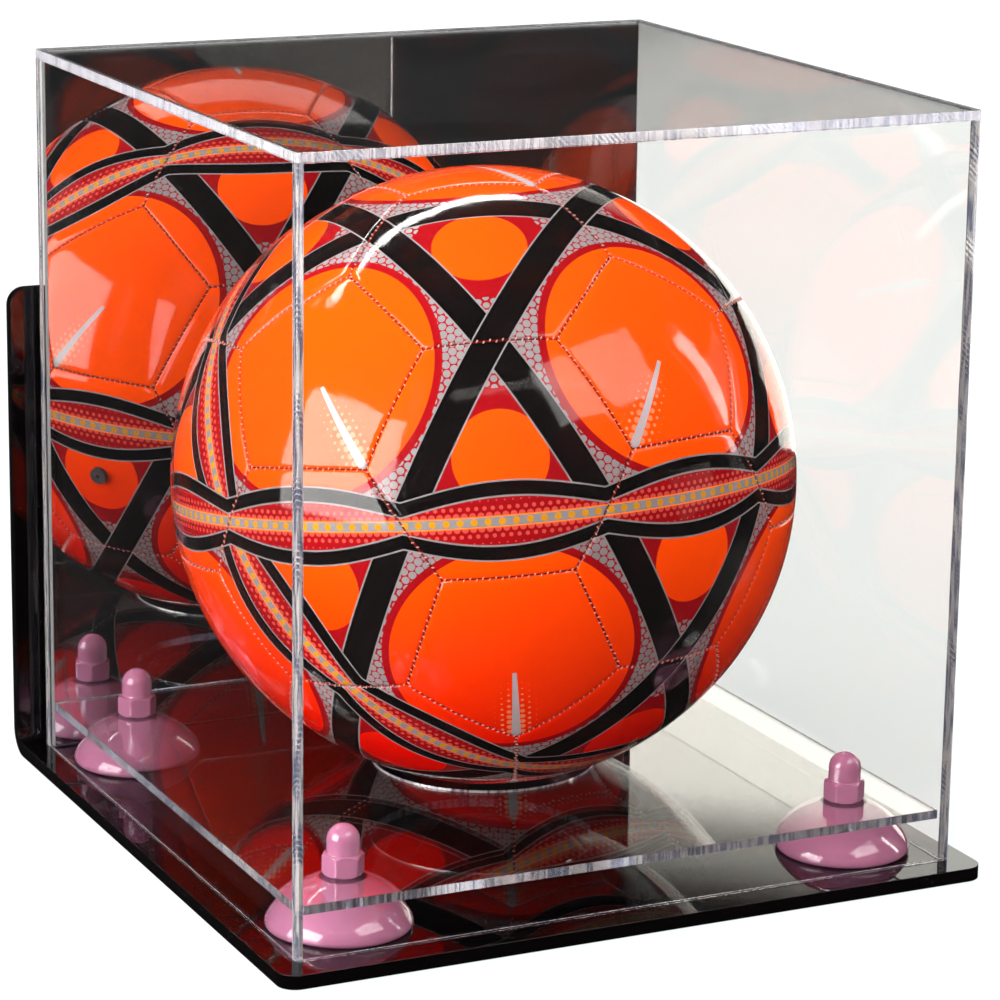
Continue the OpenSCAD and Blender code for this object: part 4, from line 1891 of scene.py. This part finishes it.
    def add_rings(self, obj: bpy.types.Object) -> None:
        """Insets every panel ring by ring, notes how deep each ring lies, and fans its middle.

        Args:
            obj: The flat panels, in edit mode.
        """
        group = obj.vertex_groups.new(name="sunk")
        bpy.ops.object.mode_set(mode="OBJECT")
        known: set[int] = set()
        for number, depth in enumerate(self.depths):
            fresh = [v.index for v in obj.data.vertices if v.index not in known]
            group.add(fresh, depth, "REPLACE")
            known.update(fresh)
            Bench.take(obj)
            bpy.ops.object.mode_set(mode="EDIT")
            bpy.ops.mesh.select_mode(type="FACE")
            if number == 0:
                bpy.ops.mesh.select_all(action="SELECT")
            if number < len(self.rings):
                width = self.rings[number] / self.radius * self.plane
                bpy.ops.mesh.inset(thickness=width, use_individual=True)
                bpy.ops.object.mode_set(mode="OBJECT")
        bpy.ops.mesh.poke()

    def panels(self, kind: PanelKind) -> bpy.types.Object:
        """Makes all panels of a kind.

        Args:
            kind: Pentagons or hexagons.

        Returns:
            One object that holds the panels as closed, domed shells with turned-in edges.
        """
        obj = self.flat_panels(kind)
        self.add_rings(obj)
        Bench.select(obj, Element.EDGE, lambda edge: edge.calc_length() > 0.1)
        bpy.ops.mesh.subdivide(number_cuts=self.cuts)
        bpy.ops.object.mode_set(mode="OBJECT")
        Bench.apply(obj, "CAST", cast_type="SPHERE", factor=1.0, use_radius_as_size=False,
                    size=self.radius * MM)
        Bench.apply(obj, "DISPLACE", strength=-self.seam_depth * MM, mid_level=0.0,
                    vertex_group="sunk", direction="NORMAL")
        Bench.apply(obj, "SOLIDIFY", thickness=self.wall * MM, offset=-1.0)
        obj.vertex_groups.clear()
        obj.location = self.centre
        Bench.take(obj)
        bpy.ops.object.transform_apply(location=True)
        self.map_panels(obj, kind)
        bpy.ops.object.shade_smooth()
        return obj

    def map_panels(self, obj: bpy.types.Object, kind: PanelKind) -> None:
        """Gives each panel a flat map of its own, in millimetres from the panel's middle.

        Args:
            obj: The panels.
            kind: Their kind.
        """
        mesh = obj.data
        for layer in list(mesh.uv_layers):
            mesh.uv_layers.remove(layer)
        layer = mesh.uv_layers.new(name="panel")
        faces = self.faces(kind)
        middles = np.array([m for m, _ in faces])
        points = np.zeros(len(mesh.vertices) * 3)
        mesh.vertices.foreach_get("co", points)
        points = points.reshape(-1, 3) - np.array(self.centre)
        corners = np.zeros(len(mesh.loops), int)
        mesh.loops.foreach_get("vertex_index", corners)
        starts = np.array([p.loop_start for p in mesh.polygons])
        totals = np.array([p.loop_total for p in mesh.polygons])
        centres = np.add.reduceat(points[corners], starts) / totals[:, None]
        nearest = np.repeat((centres @ middles.T).argmax(1), totals)
        rights = [(start - middle * start.dot(middle)).normalized() for middle, start in faces]
        ups = [middle.cross(right) for (middle, _), right in zip(faces, rights)]
        at = points[corners] / MM
        flat = np.stack([(at * np.array(way)[nearest]).sum(1) for way in (rights, ups)], 1)
        layer.data.foreach_set("uv", flat.ravel().astype(np.float32))

    def stitch(self) -> bpy.types.Object:
        """Models one stitch, at the origin and along X.

        Returns:
            Its object.
        """
        Bench.take()
        bpy.ops.mesh.primitive_uv_sphere_add(segments=6, ring_count=5, radius=self.stitch_r * MM)
        first = Bench.named("stitch")
        stretch = self.stitch_length / 2 / self.stitch_r
        Bench.select(first, Element.FACE, lambda face: True)
        bpy.ops.transform.resize(value=(stretch, 1.0, 1.0), center_override=(0, 0, 0))
        bpy.ops.object.mode_set(mode="OBJECT")
        return first

    def stitch_places(self) -> Iterable[Matrix]:
        """Goes along every seam.

        Returns:
            The place and turn of each stitch, one after the other.
        """
        lean = math.radians(self.stitch_lean)
        height = self.radius - self.seam_depth * self.stitch_sink
        for p, q in self.seams():
            along = (q - p).normalized()
            for number in range(self.stitches):
                out = p.lerp(q, (number + 0.5) / self.stitches).normalized()
                side = out.cross(along).normalized()
                shift = self.stitch_shift if number % 2 else -self.stitch_shift
                long_way = (side * math.cos(lean) + along * math.sin(lean)).normalized()
                turn = Matrix((long_way, out.cross(long_way), out)).transposed().to_4x4()
                spot = (out * height + side * shift) * MM
                yield Matrix.Translation(self.centre + spot) @ turn

    def stitching(self) -> bpy.types.Object:
        """Copies a stitch along every seam.

        Returns:
            One object that holds all stitches.
        """
        first, joined = self.stitch(), bmesh.new()
        for place in self.stitch_places():
            before = len(joined.verts)
            joined.from_mesh(first.data)
            joined.verts.ensure_lookup_table()
            bmesh.ops.transform(joined, matrix=place, verts=joined.verts[before:])
        mesh = bpy.data.meshes.new("ball_stitching")
        joined.to_mesh(mesh)
        joined.free()
        bpy.data.objects.remove(first)
        obj = Bench.linked("ball_stitching", mesh)
        bpy.ops.object.shade_smooth()
        Bench.dress(obj, (FINISHES.thread,))
        return Bench.fit(obj, Body.BALL, "lining_cloth")

    def build(self) -> None:
        """Makes the ball and dresses what is inside it."""
        poles = [self.corners[number] for number in self.ribbons]
        rounded = tuple(tuple(round(x, 6) for x in pole) for pole in poles)
        for kind, slot in ((PanelKind.PENTAGON, "ball_dark"), (PanelKind.HEXAGON, "ball_orange")):
            name = kind.name.lower()
            obj = self.panels(kind)
            look = BallPrint("ball_print_" + name, self.roughness, kind=kind,
                             centre=tuple(self.centre), radius=float(self.radius), poles=rounded)
            Bench.dress(obj, (look,))
            Bench.fit(obj, Body.BALL, slot, f"ball_{name}s")
        self.stitching()
        for node, look in (("ball_lining", FINISHES.cloth), ("ball_bladder", FINISHES.rubber),
                           ("ball_valve", FINISHES.rubber)):
            Bench.dress(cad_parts[node], (look,))


# ------------------------------------------------------------------ the studio


@dataclass
class SoftBox:
    """A rectangular lamp.

    Attributes:
        name: Its name.
        place: Where its middle is, in metres.
        size: Its width and height, in metres.
        radiance: How bright its face looks.
        aim: The point that it faces, in metres.
        gloss_only: True if it shows in reflections alone.
    """

    name: str
    place: tuple[float, float, float]
    size: tuple[float, float]
    radiance: float
    aim: tuple[float, float, float] = (0.0, 0.0, 0.12)
    gloss_only: bool = False

    def build(self) -> bpy.types.Object:
        """Makes the lamp.

        Returns:
            Its object.
        """
        data = bpy.data.lights.new(self.name, "AREA")
        data.shape = "RECTANGLE"
        data.size, data.size_y = self.size
        data.energy = self.radiance * math.pi * self.size[0] * self.size[1]
        lamp = bpy.data.objects.new(self.name, data)
        bpy.context.scene.collection.objects.link(lamp)
        lamp.location = self.place
        look = Vector(self.aim) - Vector(self.place)
        lamp.rotation_euler = look.to_track_quat("-Z", "Y").to_euler()
        lamp.visible_camera = False
        lamp.visible_diffuse = not self.gloss_only
        return lamp


@dataclass
class Card:
    """A low white card behind the case that only reflections see.

    Attributes:
        place: Where its middle is, in metres.
        size: Its width and height, in metres.
        light: How bright it is.
        dim: How bright it is above its fade, as a share of that.
        colour: Its colour.
        fade: The heights where it starts and ends to fade, in metres.
        slope: How much those heights rise per metre to the right.
    """

    place: tuple[float, float, float] = (0.55, 0.42, 0.125)
    size: tuple[float, float] = (1.3, 0.25)
    light: float = 2.35
    dim: float = 0.015
    colour: Colour = (1.0, 1.0, 0.93)
    fade: tuple[float, float] = (0.129, 0.164)
    slope: float = 0.235

    def surface(self, g: Graph) -> bpy.types.NodeSocket:
        """Sets up the card's paint.

        Args:
            g: The material's graph.

        Returns:
            Its shader: a glow in reflections, and nothing elsewhere.
        """
        across, _, height = g.parts(g.place())
        level = g.math("SUBTRACT", height, g.math("MULTIPLY", across, self.slope))
        fade = g.ramp(level, *self.fade, 1.0, self.dim, smooth=True)
        glow = g.fit(g.node("Emission"), Color=self.colour,
                     Strength=g.math("MULTIPLY", fade, self.light))
        return g.swap(g.only_mirrored(), g.node("BsdfTransparent"), glow).outputs[0]

    def build(self) -> bpy.types.Object:
        """Makes the card.

        Returns:
            Its object.
        """
        Bench.take()
        bpy.ops.mesh.primitive_plane_add(size=1.0, location=self.place,
                                         rotation=(math.radians(90), 0, 0))
        bpy.context.object.scale = (*self.size, 1.0)
        obj = Bench.named("reflected_card")
        obj.data.materials.append(paint(obj.name, self.surface))
        obj.visible_shadow = False
        obj.visible_diffuse = False
        obj.visible_camera = False
        return obj


@dataclass
class Camera:
    """The camera, at the height and side that the case is looked at from.

    Attributes:
        place: Its place, in metres.
        yaw: Its direction, in degrees from +Y towards +X.
        pitch: How far it looks down, in degrees.
        roll: Its roll, in degrees.
        focal: Its focal length, in widths of the picture.
        sensor: Width of its sensor.
        clip: The nearest and farthest that it sees, in metres.
    """

    place: tuple[float, float, float] = (-0.56438, -1.18495, 0.45689)
    yaw: float = 25.741
    pitch: float = 14.536
    roll: float = -0.826
    focal: float = 3.8237
    sensor: float = 36.0
    clip: tuple[float, float] = (0.01, 100.0)

    def build(self) -> bpy.types.Object:
        """Makes the camera the scene's own.

        Returns:
            Its object.
        """
        data = bpy.data.cameras.new("camera")
        camera = bpy.data.objects.new("camera", data)
        bpy.context.scene.collection.objects.link(camera)
        yaw, pitch, roll = (math.radians(a) for a in (self.yaw, self.pitch, self.roll))
        ahead = Vector((math.sin(yaw) * math.cos(pitch), math.cos(yaw) * math.cos(pitch),
                        -math.sin(pitch)))
        right = Vector((math.cos(yaw), -math.sin(yaw), 0.0))
        down = ahead.cross(right)
        level = math.cos(roll) * right + math.sin(roll) * down
        fall = -math.sin(roll) * right + math.cos(roll) * down
        turn = Matrix((level, -fall, -ahead)).transposed().to_4x4()
        camera.matrix_world = Matrix.Translation(self.place) @ turn
        data.sensor_width = self.sensor
        data.lens = self.focal * self.sensor
        data.clip_start, data.clip_end = self.clip
        bpy.context.scene.camera = camera
        return camera


@dataclass
class Studio:
    """Floor, lamps, surroundings and camera.

    Attributes:
        camera: The camera.
        card: The card behind the case.
        lamps: A box at the left, a strip above and behind, and small fills.
        bounces: How often light goes on, by kind.
        floor_size: Width of the floor, in metres.
        floor_drop: How far it lies below the case, so that they don't touch.
        floor_grey: How light the floor is.
        far_grey: How light it is far behind the case.
        far: The distances from the camera where that starts and is full, in metres.
        floor_glow: Even light that is added to it, which weakens shadows.
        glow_colour: The colour of that light.
        floor_bounce: How light it is as far as it lights the case.
        speckle: How much its speckles are darker or lighter.
        sky: Light from above, on matt surfaces.
        horizon: Light from the side, on matt surfaces.
        side: How much more of it comes from the left than from the right.
        rear: How much less of it comes from behind than from the front.
        low_tint: Colour of the light from low down.
        room: How bright the room is in reflections.
        backdrop: How bright the background looks.
        guided_light: How bright the room is after many reflections, as inside a sheet's edge.
    """

    camera: Camera = field(default_factory=Camera)
    card: Card = field(default_factory=Card)
    lamps: tuple[SoftBox, ...] = (
        SoftBox("left_window", (-1.05, -0.2, 0.36), (0.8, 0.72), 7.0),
        SoftBox("back_strip", (-0.1, 0.62, 0.98), (1.15, 0.07), 16.0),
        SoftBox("right_fill", (1.3, -0.3, 0.6), (0.15, 0.8), 6.0, gloss_only=True),
        SoftBox("front_window", (0.42, -0.85, 0.98), (0.95, 0.5), 3.0, gloss_only=True))
    bounces: dict[str, int] = field(default_factory=lambda: {
        "max_bounces": 40, "glossy_bounces": 28, "transmission_bounces": 32,
        "diffuse_bounces": 4, "transparent_max_bounces": 24})
    floor_size: float = 40.0
    floor_drop: float = 0.2
    floor_grey: float = 0.105
    far_grey: float = 0.13
    far: tuple[float, float] = (2.7, 3.2)
    floor_glow: float = 0.8
    glow_colour: Colour = (0.93, 1.0, 0.99)
    floor_bounce: float = 0.06
    speckle: float = 0.01
    sky: float = 4.3
    horizon: float = 0.65
    side: float = 0.3
    rear: float = 0.3
    low_tint: Colour = (1.0, 0.5, 0.42)
    room: float = 0.018
    backdrop: float = 1.2
    guided_light: float = 2.2

    def world(self) -> None:
        """Bright surroundings for matt surfaces and plain sight, a dark room for reflections."""
        world = bpy.data.worlds.new("studio")
        bpy.context.scene.world = world
        world.use_nodes = True
        world.cycles.sampling_method = "NONE"
        world.node_tree.nodes.clear()
        g = Graph(world.node_tree)
        direction = g.node("TexCoord").outputs["Generated"]
        across, deep, up = g.parts(direction)
        patches = g.group(room_patches(), Vector=direction, Size=6.0,
                          Light=self.guided_light).outputs
        soft = g.math("MULTIPLY", g.ramp(up, -0.1, 1.0, self.horizon, self.sky),
                      g.ramp(across, -1.0, 1.0, 1.0 + self.side, 1.0 - self.side))
        soft = g.math("MULTIPLY", soft,
                      g.ramp(deep, -1.0, 1.0, 1.0 + self.rear, 1.0 - self.rear))
        guided, scattered = g.has_met(Met.GLOSSY, MANY_TIMES), g.has_met(Met.MATT, ONCE)
        strength = g.mix(g.has_met(Met.GLOSSY, ONCE), self.backdrop, self.room)
        strength = g.mix(guided, strength, patches["Strength"])
        strength = g.mix(scattered, strength, soft)
        plain = g.blend(guided, WHITE, patches["Colour"])
        warm = g.blend(g.ramp(up, 0.0, 0.55), self.low_tint, WHITE)
        background = g.fit(g.node("Background"), Color=g.blend(scattered, plain, warm),
                           Strength=strength)
        g.fit(g.node("OutputWorld"), Surface=background.outputs[0])

    def floor_surface(self, g: Graph) -> bpy.types.NodeSocket:
        """Sets up the floor's paint: pale to the eye, dark in reflections.

        Args:
            g: The material's graph.

        Returns:
            Its shader.
        """
        at = g.place()
        scattered = g.has_met(Met.MATT, ONCE)
        away = g.vector("LENGTH", g.vector("SUBTRACT", at, self.camera.place))
        grey = g.ramp(away, *self.far, self.floor_grey, self.far_grey, smooth=True)
        darker, lighter = ((1 + change,) * 3 for change in (-self.speckle, self.speckle))
        seen = g.scaled(g.blend(g.noise(at, 400.0, 2.0), darker, lighter), grey)
        bounced = tuple(self.floor_bounce * part for part in self.low_tint)
        diffuse = g.fit(g.node("BsdfDiffuse"), Color=g.blend(scattered, seen, bounced))
        glow = g.fit(g.node("Emission"), Color=self.glow_colour,
                     Strength=g.mix(scattered, self.floor_glow, 0.0))
        lit = g.fill(g.node("AddShader"), diffuse.outputs[0], glow.outputs[0])
        guided = g.has_met(Met.GLOSSY, MANY_TIMES)
        patches = g.group(room_patches(), Vector=at, Size=5.0, Light=self.guided_light).outputs
        dark = g.fit(g.node("Emission"), Color=g.blend(guided, WHITE, patches["Colour"]),
                     Strength=g.mix(guided, self.room, patches["Strength"]))
        return g.swap(g.only_mirrored(), lit, dark).outputs[0]

    def floor(self) -> bpy.types.Object:
        """Makes the floor.

        Returns:
            Its object.
        """
        Bench.take()
        bpy.ops.mesh.primitive_plane_add(size=self.floor_size,
                                         location=(0, 0, -self.floor_drop * MM))
        obj = Bench.named("floor")
        obj.data.materials.append(paint(obj.name, self.floor_surface))
        return obj

    def build(self) -> None:
        """Sets up everything round the case."""
        scene = bpy.context.scene
        scene.view_settings.view_transform = "Standard"
        for name, count in self.bounces.items():
            setattr(scene.cycles, name, count)
        self.world()
        self.floor()
        self.card.build()
        for lamp in self.lamps:
            lamp.build()
        self.camera.build()


def main() -> None:
    """Builds the sub-assemblies in order, then the studio."""
    logging.basicConfig(level=logging.INFO, format="%(name)s: %(message)s")
    Base().build()
    Platform().build()
    Riser().build()
    AcornNut().build()
    for corner in Corner:
        Bench.dress(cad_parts["screw_" + corner.value], (FINISHES.steel,))
    Ball().build()
    Cover().build()
    Studio().build()


if __name__ == "__main__":
    main()
